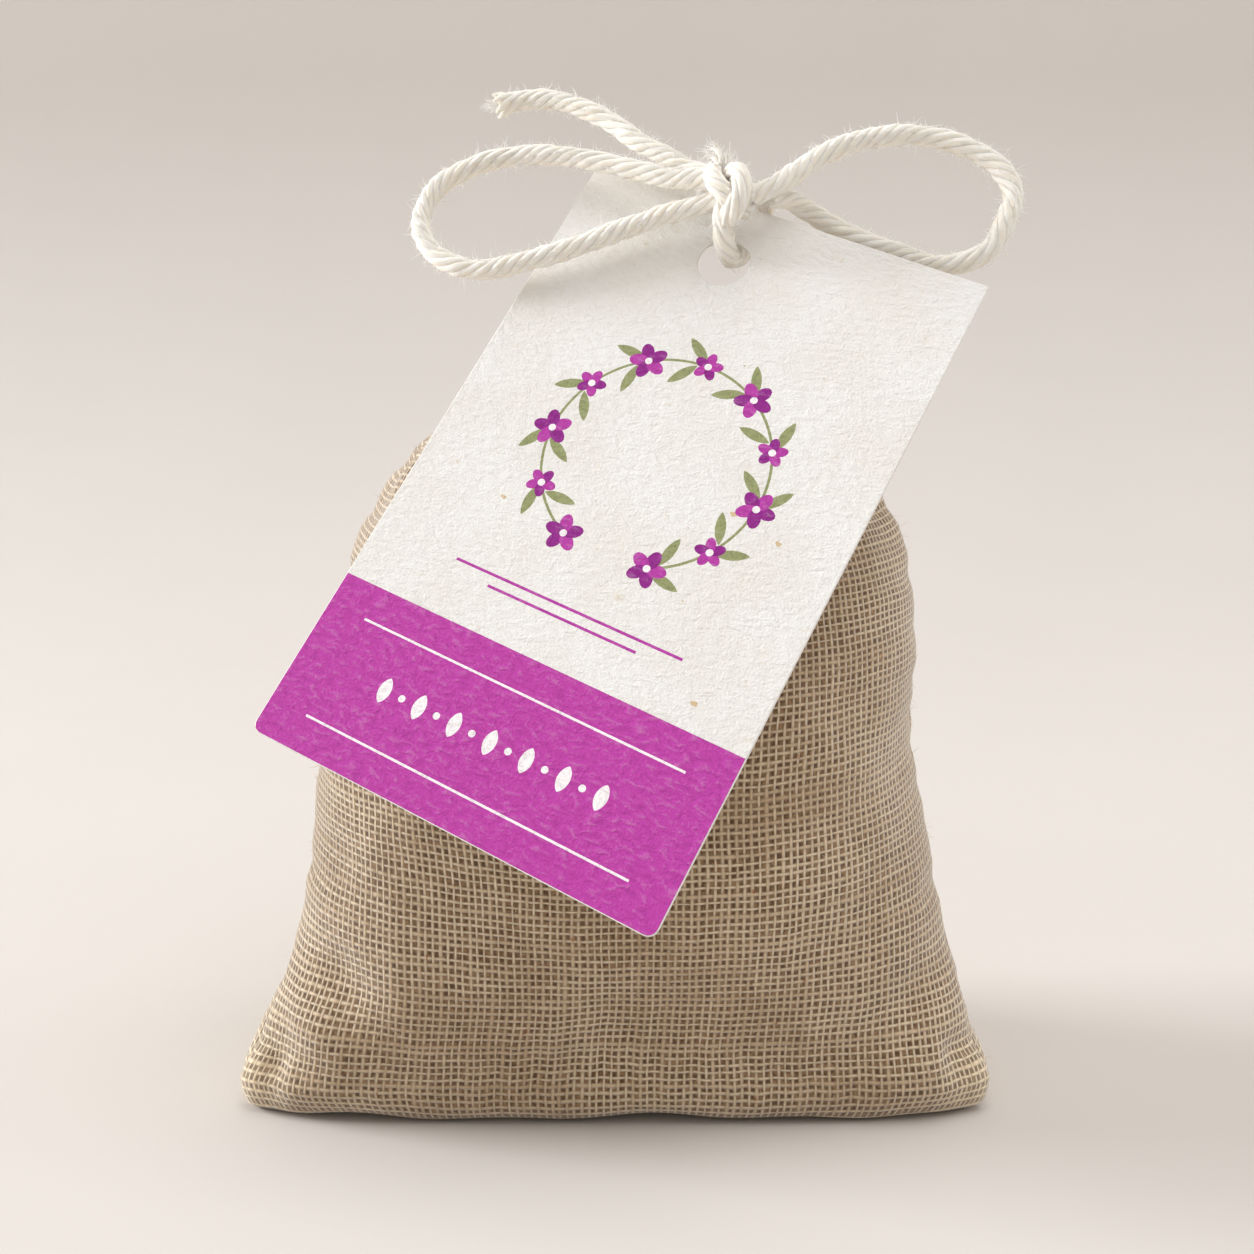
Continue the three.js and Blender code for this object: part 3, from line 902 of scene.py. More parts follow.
@dataclass(frozen=True)
class BudFinish:
    """Dried lavender buds: grey violet calyces with some straw."""

    light: Colour = srgb(142, 126, 160)
    dark: Colour = srgb(78, 66, 98)
    straw: Colour = srgb(150, 136, 98)
    relief: float = 0.0005

    def material(self) -> Material:
        """Make the material.

        Returns:
            The material.
        """
        material, g, shader = new_material("dried_buds")
        place = g.attribute("grain")
        cells = g.node("TexVoronoi", {"Vector": place, "Scale": 0.55})
        pick = g.node("SeparateColor", {0: cells.outputs["Color"]}).outputs
        colour = g.mix(pick[0], self.light, self.dark)
        colour = g.mix(g.remap(pick[1], 0.8, 0.85), colour, self.straw)
        ribs = g.noise(place, 5.0, 2.0).outputs[0]
        height = g.math("SUBTRACT", g.math("MULTIPLY", ribs, 0.2), cells.outputs["Distance"])
        normal = g.bump(0.8, self.relief, height)
        g.fill(shader, {"Base Color": colour, "Roughness": 0.9, "Normal": normal})
        return material


@dataclass(frozen=True)
class ThreadFinish:
    """Spun sewing thread, a little lighter than the cloth."""

    light: Colour = srgb(224, 206, 178)
    dark: Colour = srgb(176, 152, 120)
    relief: float = 0.0001
    grain: Point = (2600.0, 2600.0, 1400.0)

    def material(self) -> Material:
        """Make the material.

        Returns:
            The material.
        """
        material, g, shader = new_material("sewing_thread")
        place = g.node("TexCoord").outputs["Object"]
        twist = g.noise(g.vector("MULTIPLY", place, self.grain), 1.0, 2.0).outputs[0]
        g.fill(
            shader,
            {
                "Base Color": g.mix(twist, self.light, self.dark),
                "Roughness": g.remap(twist, 0.3, 0.7, 0.65, 0.85),
                "Sheen Weight": 0.2,
                "Normal": g.bump(0.6, self.relief, twist),
            },
        )
        return material


class Wardrobe:
    """The materials, one for each slot."""

    def __init__(self) -> None:
        """Make every material."""
        self.by_slot = {
            Slot.LINEN: LinenFinish().material(weave_effect()),
            Slot.TWINE: TwineFinish().material(fibre_effect()),
            Slot.CARD: CardFinish().material(paper_effect()),
            Slot.BUDS: BudFinish().material(),
            Slot.THREAD: ThreadFinish().material(),
        }

    def dress(self, piece: Object, slot: Slot) -> None:
        """Give a piece its material.

        Args:
            piece: The piece.
            slot: Slot of its material.
        """
        piece.data.materials.clear()
        piece.data.materials.append(self.by_slot[slot])

    def fit(self, piece: Object, slot: Slot, body: Body, node: str) -> None:
        """Dress a piece and let it ride on a body in place of its node.

        Args:
            piece: The piece.
            slot: Slot of its material.
            body: The body that carries it.
            node: Frame node that it stands for.
        """
        self.dress(piece, slot)
        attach(piece, body.value)
        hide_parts(node)


@dataclass(frozen=True)
class CardPlane:
    """Where the card lies, and the distances across, up and out of it that routes are given in."""

    middle: tuple[float, float, float] = (1.13, -10.7, 69.64)
    lean: float = math.radians(28.8)
    turn: float = math.radians(11.4)
    roll: float = math.radians(22.9)
    thick: float = 0.5
    rest_gap: float = 0.35
    fibre_gap: float = 0.2
    swing_top: float = 30.0
    swing_low: float = 39.0
    swing_height: float = 47.0
    softness: float = 0.6

    def axes(self) -> Array:
        """Find the card's directions.

        Returns:
            Rows for across, up and out.
        """
        flat = math.cos(self.lean)
        out = np.array([-math.sin(self.turn) * flat, -math.cos(self.turn) * flat, math.sin(self.lean)])
        level = np.array([math.cos(self.turn), -math.sin(self.turn), 0.0])
        rise = np.cross(out, level)
        across = level * math.cos(self.roll) - rise * math.sin(self.roll)
        up = level * math.sin(self.roll) + rise * math.cos(self.roll)
        return np.array([across, up, out])

    def place(self, points: Sequence[Point]) -> Array:
        """Turn distances across, up and out of the card into places."""
        return np.asarray(self.middle) + np.asarray(points, float) @ self.axes()

    def room(self, points: Array) -> Array:
        """Find how far fibres may reach before they meet the card anywhere in its swing.

        Args:
            points: Places in the frame where the fibres start.

        Returns:
            The distances.
        """
        across, up, out = ((points - np.asarray(self.middle)) @ self.axes().T).T
        reach = np.where(up > 0, self.swing_top, self.swing_low)
        beside = np.maximum(np.abs(across) - reach, np.abs(up) - self.swing_height)
        return np.maximum(np.maximum(out, -self.thick - out), beside) - self.fibre_gap

    def behind(self, points: Array) -> Array:
        """Press points of the cloth back behind the card.

        Args:
            points: Places in the frame.

        Returns:
            The pressed places.
        """
        out = self.axes()[2]
        reach = (points - np.asarray(self.middle)) @ out + self.thick + self.rest_gap
        push = self.softness * np.logaddexp(0, reach / self.softness)
        return points - push[..., None] * out


# Pouch sections from the floor up: z, middle x, half width, front y, side seam y, back y,
# roundness of the front and the back, depth of the pleats.
SECTIONS = np.array(
    [
        (0, -0.4, 41.2, -16.6, -14.1, 15, 2.7, 2.1, 0),
        (1.2, 0, 43, -17.4, -14.1, 16.6, 2.7, 2.1, 0),
        (3.5, 0, 43.5, -18, -13.8, 18.2, 2.6, 2.1, 0),
        (8, 0.1, 42, -18.8, -12.3, 20.2, 2.5, 2.1, 0),
        (16, 0.7, 39.6, -20, -9.5, 22, 2.4, 2.1, 0),
        (27, 0.7, 37.5, -21.1, -6, 23.8, 2.3, 2.1, 0),
        (40, 0.3, 36, -21.2, -2.4, 25.3, 2.3, 2.1, 0),
        (53, 1.1, 35.3, -17.9, 1, 26.2, 2.3, 2.1, 0),
        (63, 1.6, 34, -13.6, 3.5, 26.2, 2.2, 2.1, 0),
        (70, 1.5, 30.8, -10, 5.3, 25, 2.1, 2.1, 0.05),
        (75.5, 1.4, 26.6, -6.3, 7.2, 23.4, 2, 2, 0.15),
        (80, 1, 20.6, -1.9, 9.9, 22.6, 2, 2, 0.3),
        (84, 0.7, 12.6, 3.6, 12.6, 21.8, 2, 2, 0.45),
        (87, 0.5, 5.8, 8.9, 14.6, 20.4, 2, 2, 0.5),
        (95.4, 0.5, 5.5, 9.9, 15.4, 20.9, 2, 2, 0.5),
        (99.8, 1, 6.3, 13.2, 19.5, 25.8, 2, 2, 0.9),
        (103.8, 1.7, 6.2, 15.6, 22.8, 30.2, 2, 2, 1.2),
    ]
)
NECK_ROW = 13


def monotone(knots: Array, values: Array, at: Array) -> Array:
    """Interpolate smoothly without overshoot.

    Args:
        knots: Rising places of the values.
        values: Rows of values.
        at: Places wanted.

    Returns:
        A row of values for each place.
    """
    gap = np.diff(knots)[:, None]
    slope = np.diff(values, axis=0) / gap
    same = slope[:-1] * slope[1:] > 0
    first, second = 2 * gap[1:] + gap[:-1], gap[1:] + 2 * gap[:-1]
    with np.errstate(divide="ignore", invalid="ignore"):
        mean = (first + second) / (first / slope[:-1] + second / slope[1:])
    inner = np.where(same, mean, 0.0)
    slopes = np.vstack([slope[:1], inner, slope[-1:]])
    index = np.clip(np.searchsorted(knots, at, side="right") - 1, 0, len(knots) - 2)
    width = gap[index]
    t = ((at - knots[index]) / gap[index, 0])[:, None]
    low, high = values[index], values[index + 1]
    start, end = slopes[index] * width, slopes[index + 1] * width
    return hermite(t, low, start, high, end)


@dataclass(frozen=True)
class Dent:
    """A soft dent or ridge of the front: its middle, its height outwards, its two radii and its turn."""

    x: float
    z: float
    height: float
    long: float
    short: float
    turn: float


@dataclass
class Pouch:
    """The stuffed cloth pouch: two panels, the buds inside and the sewing thread."""

    card: CardPlane
    step: float = 0.62
    ring_samples: int = 900
    cloth: float = 0.7
    pleats: int = 9
    seam_gap: float = 0.3
    base_inset: float = 3.0
    base_depth: float = 30.0
    base_middle: float = -2.0
    base_margin: float = 0.02
    floor_gap: float = 0.05
    thin_rows: int = 6
    thin_share: float = 0.2
    fill_inset: float = 1.65
    fill_range: Pair = (1.3, 83.5)
    fill_limits: Pair = (1.2, 83.0)
    fill_rows: int = 78
    fill_columns: int = 200
    fill_foot: float = 3.0
    fill_foot_height: float = 5.0
    fill_seam: float = 1.1
    fill_seam_width: float = 0.3
    fill_narrowing: float = 0.09
    fill_narrow_height: float = 9.0
    bud_scale: float = 0.42
    bud_depth: float = 0.9
    lump_band: tuple[float, ...] = (0.0, 8.0, 88.0, 12.0)
    gather: float = 0.75
    gather_band: tuple[float, ...] = (56.0, 20.0, 87.0, 5.0)
    tuck: float = 0.4
    tuck_width: float = 0.9
    tuck_band: tuple[float, ...] = (0.0, 3.0, 86.0, 8.0)
    foot: float = 2.0
    foot_height: float = 7.0
    roll: float = 2.6
    lift: float = 0.6
    lift_waves: tuple[Point, ...] = ((0.35, 0.16, 0.8), (0.25, 0.37, 0.0))
    lift_limits: Pair = (0.05, 1.6)
    lift_width: float = 35.0
    lift_fade: float = 3.0
    hem_share: float = 0.6
    hem_lift: float = 0.95
    hem_step: float = 0.3
    stitch: float = 2.2
    thread_radius: float = 0.25
    half_cloth: float = 44.5
    back_grain: float = 60.0
    outer_chart: Pair = (0.03, 0.86)
    inner_chart: Pair = (0.99, 0.87)
    fill_chart: Pair = (0.03, 1.0)
    weft_rise: float = 4.5
    weft_ramp: float = 30.0
    ear_place: float = 43.5
    ear_width: float = 5.5
    ear_height: float = 10.0
    ear_crowd: float = 3.0
    crowd_start: float = 0.7
    crowd_height: float = 18.0
    fibres: int = 900
    fibre_radius: float = 0.028
    fibre_stray: float = 0.9
    fibre_lengths: Pair = (0.5, 2.0)
    fibre_floor: float = 0.5
    settle_height: float = 97.0
    settle_limit: float = 1.6
    settle_rows: int = 46
    settle_columns: int = 60
    settle_frames: int = 20
    settle_smoothing: int = 60
    seam_hold: float = 0.9
    pressure: float = 0.5
    swell: float = 0.12
    wrinkle: float = 0.8
    lumps: tuple[Point, ...] = ((0.8, 0.055, 0.0), (0.38, 0.13, 7.0), (0.1, 0.4, 3.0))
    front_limit: float = 6.0
    dents: tuple[Dent, ...] = (
        Dent(-31.0, 17.0, -1.5, 5.5, 3.2, -0.6),
        Dent(-33.5, 10.6, 0.7, 6.0, 2.4, -0.65),
        Dent(-38.6, 6.5, -0.9, 5.0, 1.9, 1.4),
        Dent(33.0, 14.5, -0.9, 6.0, 3.2, 0.6),
        Dent(36.5, 9.0, 0.4, 5.0, 2.2, 0.6),
        Dent(39.0, 6.0, -0.6, 4.5, 1.9, -1.4),
        Dent(35.0, 43.0, -0.7, 6.0, 4.0, 1.2),
        Dent(-14.0, 7.0, -0.4, 9.0, 3.5, 0.1),
        Dent(12.0, 16.0, -0.35, 10.0, 4.0, 0.2),
    )
    moves: Optional[Array] = None
    rng: np.random.Generator = field(default_factory=lambda: np.random.default_rng(SEED))

    def rows(self) -> tuple[Array, Array]:
        """Sample the sections at even steps up the front.

        Returns:
            Distances up the front and the sections there.
        """
        profile = np.hypot(np.diff(SECTIONS[:, 0]), np.diff(SECTIONS[:, 3]))
        knots = np.concatenate([[0], np.cumsum(profile)])
        at = np.linspace(0, knots[-1], int(knots[-1] / self.step) + 1)
        return at, monotone(knots, SECTIONS, at)

    def ring(self, section: Array, angles: Array) -> Array:
        """Find points on the outside of one section.

        Args:
            section: The section's values.
            angles: Angles round it, with the front at 270 degrees.

        Returns:
            The points, not yet pressed by the card.
        """
        z, middle, half, front, side, back, round_front, round_back, pleat = section
        c, s = np.cos(angles), np.sin(angles)
        power = np.where(s < 0, 2 / round_front, 2 / round_back)
        depth = np.where(s < 0, side - front, back - side)
        x = half * np.sign(c) * np.abs(c) ** power
        y = depth * np.sign(s) * np.abs(s) ** power
        fold = np.cos(self.pleats * angles) * (1 + 0.25 * np.sin(2 * angles + 0.7))
        grow = 1 + pleat * fold / np.maximum(np.hypot(x, y), 1e-6)
        return np.stack([middle + x * grow, side + y * grow, np.full_like(x, z)], axis=-1)

    def even_ring(self, section: Array, side: Side, columns: int) -> Array:
        """Space the points of a panel evenly along one section.

        Args:
            section: The section's values.
            side: Panel.
            columns: Number of points.

        Returns:
            The points.
        """
        _, _, _, front, seam, back, round_front, round_back, _ = section
        depth, power = (seam - front, round_front) if side is Side.FRONT else (back - seam, round_back)
        edge = (self.seam_gap / 2 / max(depth, 0.5)) ** (power / 2)
        fine = np.linspace(side.value + edge, side.value + math.pi - edge, self.ring_samples)
        line = self.ring(section, fine)
        run = run_along(line)
        angles = np.interp(np.linspace(0, run[-1], columns), run, fine)
        return self.ring(section, angles)

    def surface(self, side: Side) -> tuple[Array, Array, Array]:
        """Lay out one panel.

        Args:
            side: Panel.

        Returns:
            A grid of points, its place on the flat cloth, and its tone.
        """
        climb, sections = self.rows()
        columns = int(2 * self.half_cloth / self.step) + 1
        lines = [self.even_ring(s, side, columns) for s in sections]
        if side is Side.BACK:
            turn = np.linspace(self.base_margin, math.pi - self.base_margin, columns)
            edge = self.ring(sections[0], -turn)
            edge = edge + unit(np.array([sections[0, 1], self.base_middle, 0.0]) - edge) * self.base_inset
            shares = np.linspace(0, 1, int(self.base_depth / self.step), endpoint=False)
            lines = [edge + (lines[0] - edge) * t for t in shares] + lines
            climb = np.concatenate([self.base_depth * (shares - 1), climb])
        grid = np.array(lines)
        share = np.linspace(-1, 1, columns)
        flat = np.zeros_like(grid)
        flat[..., 0] = share[None, :] * self.half_cloth
        rise = self.weft_rise * np.clip(climb / self.weft_ramp, 0, 1)
        flat[..., 1] = climb[:, None] - share[None, :] ** 2 * rise[:, None]
        flat[..., 2] = 0 if side is Side.FRONT else self.back_grain
        moved = grid + self.normals(grid) * self.relief(grid, flat, side)[..., None]
        moved += self.settled(side, climb, columns)
        if side is Side.FRONT:
            moved[..., 2] += self.foot_lift(moved)
        grid = self.card.behind(moved)
        grid[..., 2] = np.maximum(grid[..., 2], 0.0)
        outer = np.clip((np.abs(share) - self.crowd_start) / (1 - self.crowd_start), 0, 1)
        crowd = self.ear_crowd * np.sign(share) * outer**2
        flat[..., 0] += crowd[None, :] * np.exp(-((grid[..., 2] / self.crowd_height) ** 2))
        # Painted backlit glow: the first tone share marks the ears, which the linen paints lighter and
        # warmer.
        tone = np.zeros_like(grid)
        beside = (np.abs(grid[..., 0]) - self.ear_place) / self.ear_width
        tone[..., 0] = np.exp(-(beside**2) - (grid[..., 2] / self.ear_height) ** 2)
        return grid, flat, tone

    def foot_lift(self, grid: Array) -> Array:
        """Find how far the front's lower edge stands off the floor.

        Args:
            grid: Points of the front.

        Returns:
            Heights, which fade out above the edge.
        """
        x = grid[..., 0]
        wave = sum((size * np.sin(rate * x + shift) for size, rate, shift in self.lift_waves), self.lift)
        middle = np.exp(-((x / self.lift_width) ** 8))
        return np.clip(wave, *self.lift_limits) * middle * np.exp(-grid[..., 2] / self.lift_fade)

    def settled(self, side: Side, climb: Array, columns: int) -> Array:
        """Look up how far the cloth has moved under the pressure of the buds.

        Args:
            side: Panel.
            climb: Distances up the front of the rows wanted.
            columns: Number of columns wanted.

        Returns:
            A move for each point of the panel's grid.
        """
        if self.moves is None:
            self.moves = self.settle()
        rows, around = self.moves.shape[:2]
        half = around // 2
        first = half if side is Side.FRONT else 0
        own = self.moves[:, (first + np.arange(half + 1)) % around]
        r = np.clip(climb / self.settle_height, 0, 1) * (rows - 1)
        c = np.linspace(0, half, columns)
        i, j = np.minimum(r.astype(int), rows - 2), np.minimum(c.astype(int), half - 1)
        a, b = (r - i)[:, None, None], (c - j)[None, :, None]
        low = own[i][:, j] * (1 - b) + own[i][:, j + 1] * b
        high = own[i + 1][:, j] * (1 - b) + own[i + 1][:, j + 1] * b
        return low * (1 - a) + high * a

    def settle(self) -> Array:
        """Let the pouch swell under pressure as a coarse cloth, held at its floor, its neck and its seams.
        """
        rows, half = self.settle_rows, self.settle_columns
        climb, sections = self.rows()
        at = np.linspace(0, self.settle_height, rows)
        picked = np.stack([np.interp(at, climb, sections[:, k]) for k in range(sections.shape[1])], axis=1)
        picked[:, -1] = 0.0
        sides = (Side.BACK, Side.FRONT)
        rings = [np.vstack([self.even_ring(p, side, half + 1)[:-1] for side in sides]) for p in picked]
        start = self.card.behind(np.array(rings)) * CENTIMETRE
        around = 2 * half
        ends = [start[0].mean(axis=0), start[-1].mean(axis=0)]
        faces = grid_faces(rows, around, True).tolist() + end_fans(rows, around).tolist()
        mesh = bpy.data.meshes.new("settling")
        mesh.from_pydata(np.vstack([start.reshape(-1, 3), ends]).tolist(), [], faces)
        cloth = bpy.data.objects.new("settling", mesh)
        bpy.context.scene.collection.objects.link(cloth)
        hold = np.zeros((rows, around))
        hold[:, [0, half]] = self.seam_hold
        hold[:2] = hold[-3:] = 1.0
        pins = cloth.vertex_groups.new(name="hold")
        for index, weight in enumerate(np.append(hold.ravel(), (1.0, 1.0))):
            pins.add([index], float(weight), "REPLACE")
        self.simulate(cloth)
        view = cloth.evaluated_get(bpy.context.evaluated_depsgraph_get())
        ended = np.zeros(3 * len(mesh.vertices), np.float32)
        view.data.vertices.foreach_get("co", ended)
        moves = (ended.reshape(-1, 3)[:-2].reshape(rows, around, 3) - start) / CENTIMETRE
        bpy.data.objects.remove(cloth)
        bpy.data.meshes.remove(mesh)
        bpy.context.scene.frame_set(1)
        broad = moves.copy()
        for _ in range(self.settle_smoothing):
            broad = (np.roll(broad, 1, axis=1) + 2 * broad + np.roll(broad, -1, axis=1)) / 4
            broad[1:-1] = (broad[:-2] + 2 * broad[1:-1] + broad[2:]) / 4
        moves = self.swell * broad + self.wrinkle * (moves - broad)
        size = np.linalg.norm(moves, axis=-1, keepdims=True)
        LOG.info("cloth settled by up to %.2f mm", float(size.max()))
        return moves * np.minimum(1.0, self.settle_limit / np.maximum(size, TINY))

    def simulate(self, cloth: Object) -> None:
        """Run the cloth simulation.

        Args:
            cloth: Coarse pouch with its group of held points.
        """
        solver = cloth.modifiers.new("settle", "CLOTH")
        solver.settings.quality = 6
        solver.settings.mass = 0.25
        solver.settings.tension_stiffness = solver.settings.compression_stiffness = 14.0
        solver.settings.shear_stiffness = 4.0
        solver.settings.bending_stiffness = 0.3
        solver.settings.shrink_min = -0.03
        solver.settings.use_pressure = True
        solver.settings.uniform_pressure_force = self.pressure
        solver.settings.vertex_group_mass = "hold"
        solver.settings.effector_weights.gravity = 0.0
        solver.collision_settings.use_collision = False
        solver.point_cache.frame_start, solver.point_cache.frame_end = 1, self.settle_frames
        for number in range(1, self.settle_frames + 1):
            bpy.context.scene.frame_set(number)

    @staticmethod
    def band(z: Array, start: float, rise: float, end: float, fall: float) -> Array:
        """Fade in over the rise above start, and out over the fall below end."""
        return np.clip((z - start) / rise, 0, 1) * np.clip((end - z) / fall, 0, 1)

    @staticmethod
    def normals(grid: Array) -> Array:
        """Find the outward directions of a grid with rows from the floor up."""
        return unit(np.cross(np.gradient(grid, axis=1), np.gradient(grid, axis=0)))

    def dented(self, grid: Array) -> Array:
        """Find the soft dents and ridges of the front.

        Args:
            grid: Points of the plain form.

        Returns:
            Distances outwards, below zero in a dent.
        """
        shape = np.zeros(grid.shape[:-1])
        for dent in self.dents:
            x, z = grid[..., 0] - dent.x, grid[..., 2] - dent.z
            c, s = math.cos(dent.turn), math.sin(dent.turn)
            along, across = c * x + s * z, c * z - s * x
            shape += dent.height * np.exp(-((along / dent.long) ** 2) - (across / dent.short) ** 2)
        return shape * (grid[..., 1] < self.front_limit)

    def relief(self, grid: Array, flat: Array, side: Side) -> Array:
        """Work out how far the cloth stands out from its plain form.

        Args:
            grid: Points of the plain form.
            flat: Places on the flat cloth.
            side: Panel.

        Returns:
            Distances outwards.
        """
        z = grid[..., 2]
        inside = 1 - (np.abs(flat[..., 0]) / self.half_cloth) ** 6
        body = self.band(z, *self.lump_band) * inside
        shape = sum(size * perlin(grid, scale, shift) for size, scale, shift in self.lumps) * body
        if side is Side.FRONT:
            shape += self.dented(grid) + self.foot * inside * np.exp(-((z / self.foot_height) ** 2))
            rest = np.clip(1 - z / self.roll, 0, 1)
            shape -= self.roll * inside * (1 - np.sqrt(1 - rest**2))
        start, rise, _, _ = self.gather_band
        shoulder = self.band(z, *self.gather_band) * np.clip((z - start) / rise, 0, 1)
        share = flat[..., 0] / self.half_cloth
        gather = np.sin(share * 21 + 1.4 * np.sin(share * 5 + side.value)) + 0.5 * np.sin(share * 34 + 2)
        shape += self.gather * shoulder * gather
        edge = self.half_cloth - np.abs(flat[..., 0])
        return shape - self.tuck * np.exp(-((edge / self.tuck_width) ** 2)) * self.band(z, *self.tuck_band)

    def panel(self, side: Side, name: str) -> Object:
        """Make one panel with its inside and its loose fibres.

        Args:
            side: Panel.
            name: Name of the piece.

        Returns:
            The piece.
        """
        grid, flat, tone = self.surface(side)
        rows, columns = grid.shape[:2]
        normals = self.normals(grid)
        thick = self.cloth * np.clip(np.arange(rows) / self.thin_rows, self.thin_share, 1.0)
        inner = grid - normals * thick[:, None, None]
        inner[..., 2] = np.maximum(inner[..., 2], self.floor_gap)
        builder = MeshBuilder()
        count = rows * columns
        quads = grid_faces(rows, columns)
        index = np.arange(count).reshape(rows, columns)
        rim = np.concatenate([index[0, :], index[1:, -1], index[-1, -2::-1], index[-2:0:-1, 0]])
        after = np.roll(rim, -1)
        wall = np.stack([after, rim, rim + count, after + count], axis=1)
        charts = (self.outer_chart, self.inner_chart)
        outside, inside = (grid_chart(rows, columns, *chart) for chart in charts)
        builder.add(
            np.concatenate([grid.reshape(-1, 3), inner.reshape(-1, 3)]),
            [quads, quads[:, ::-1] + count, wall],
            np.concatenate([flat.reshape(-1, 3)] * 2),
            np.concatenate([tone.reshape(-1, 3)] * 2),
            [outside, inside[:, ::-1]],
        )
        pick = self.rng.integers(0, count, self.fibres)
        heading = normals.reshape(-1, 3)[pick] + self.rng.normal(0, self.fibre_stray, (self.fibres, 3))
        roots = grid.reshape(-1, 3)[pick]
        room = np.minimum(self.card.room(roots), roots[:, 2] - self.fibre_floor)
        lengths = np.minimum(self.rng.uniform(*self.fibre_lengths, self.fibres), room)
        add_hairs(builder, roots, heading, lengths, self.rng, self.fibre_radius)
        return builder.build(name)

    def buds(self) -> Object:
        """Make the filling as one lumpy heap of buds.

        Returns:
            The piece.
        """
        rows, columns = self.fill_rows, self.fill_columns
        _, sections = self.rows()
        wanted = np.linspace(*np.searchsorted(sections[:, 0], self.fill_range), rows)
        angles = np.linspace(0, 2 * math.pi, columns, endpoint=False)
        grid = np.array([self.ring(sections[int(k)], angles) for k in wanted])
        middle = grid.mean(axis=1, keepdims=True)
        grid = self.card.behind(grid)
        ahead = np.roll(grid, -1, axis=1) - np.roll(grid, 1, axis=1)
        normals = unit(np.cross(ahead, np.gradient(grid, axis=0)))
        cells = np.array([noise.voronoi(Vector(p))[0][0] for p in (grid * self.bud_scale).reshape(-1, 3)])
        low = np.exp(-((grid[..., 2] / self.fill_foot_height) ** 2))
        seam = np.exp(-((np.sin(angles) / self.fill_seam_width) ** 2))
        inset = self.fill_inset + self.bud_depth * cells.reshape(rows, columns) + self.fill_foot * low
        inset += self.fill_seam * seam[None, :] - np.minimum(self.dented(grid), 0.0)
        grid = grid - normals * inset[..., None]
        shrink = self.fill_narrowing * np.exp(-grid[..., 2] / self.fill_narrow_height)
        grid[..., 0] -= (grid[..., 0] - middle[..., 0]) * shrink
        grid[..., 2] = np.clip(grid[..., 2], *self.fill_limits)
        tips = np.array([grid[0].mean(axis=0), grid[-1].mean(axis=0)])
        points = np.concatenate([grid.reshape(-1, 3), tips])
        faces = [grid_faces(rows, columns, True), end_fans(rows, columns)]
        builder = MeshBuilder()
        chart = grid_chart(rows, columns, *self.fill_chart, closed=True)
        builder.add(points, faces, points, charts=[chart])
        return builder.build("bud_filling")

    def hem(self) -> Object:
        """Make the running stitch round the mouth.

        Returns:
            The piece.
        """
        section = SECTIONS[-2] + (SECTIONS[-1] - SECTIONS[-2]) * self.hem_share
        angles = np.linspace(0, 2 * math.pi, 720)
        line = self.card.behind(self.ring(section, angles))
        out = line - np.array([section[1], section[4], section[0]])
        run = run_along(line)
        stitches = max(8, round(run[-1] / (2 * self.stitch)))
        wave = np.cos(run / run[-1] * 2 * math.pi * stitches)
        lift = self.hem_lift * np.clip(0.25 + 0.8 * wave, -0.55, 0.6)
        line = line + unit(out) * lift[:, None]
        builder = MeshBuilder()
        add_tube(builder, resample(line[:-2], self.hem_step), self.thread_radius, 8)
        return builder.build("hem_stitches")

    def build(self, wardrobe: Wardrobe) -> None:
        """Make and place the pouch.

        Args:
            wardrobe: Materials.
        """
        for side, name, node in (
            (Side.FRONT, "front_cloth", "front_panel"),
            (Side.BACK, "back_cloth", "back_panel"),
        ):
            cloth = self.panel(side, name)
            wardrobe.fit(cloth, Slot.LINEN, Body.POUCH, node)
        wardrobe.fit(self.buds(), Slot.BUDS, Body.POUCH, "lavender_fill")
        wardrobe.fit(self.hem(), Slot.THREAD, Body.POUCH, "hem_thread")
        for node in ("left_seam_thread", "right_seam_thread", "bottom_seam_thread"):
            wardrobe.dress(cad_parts[node], Slot.THREAD)


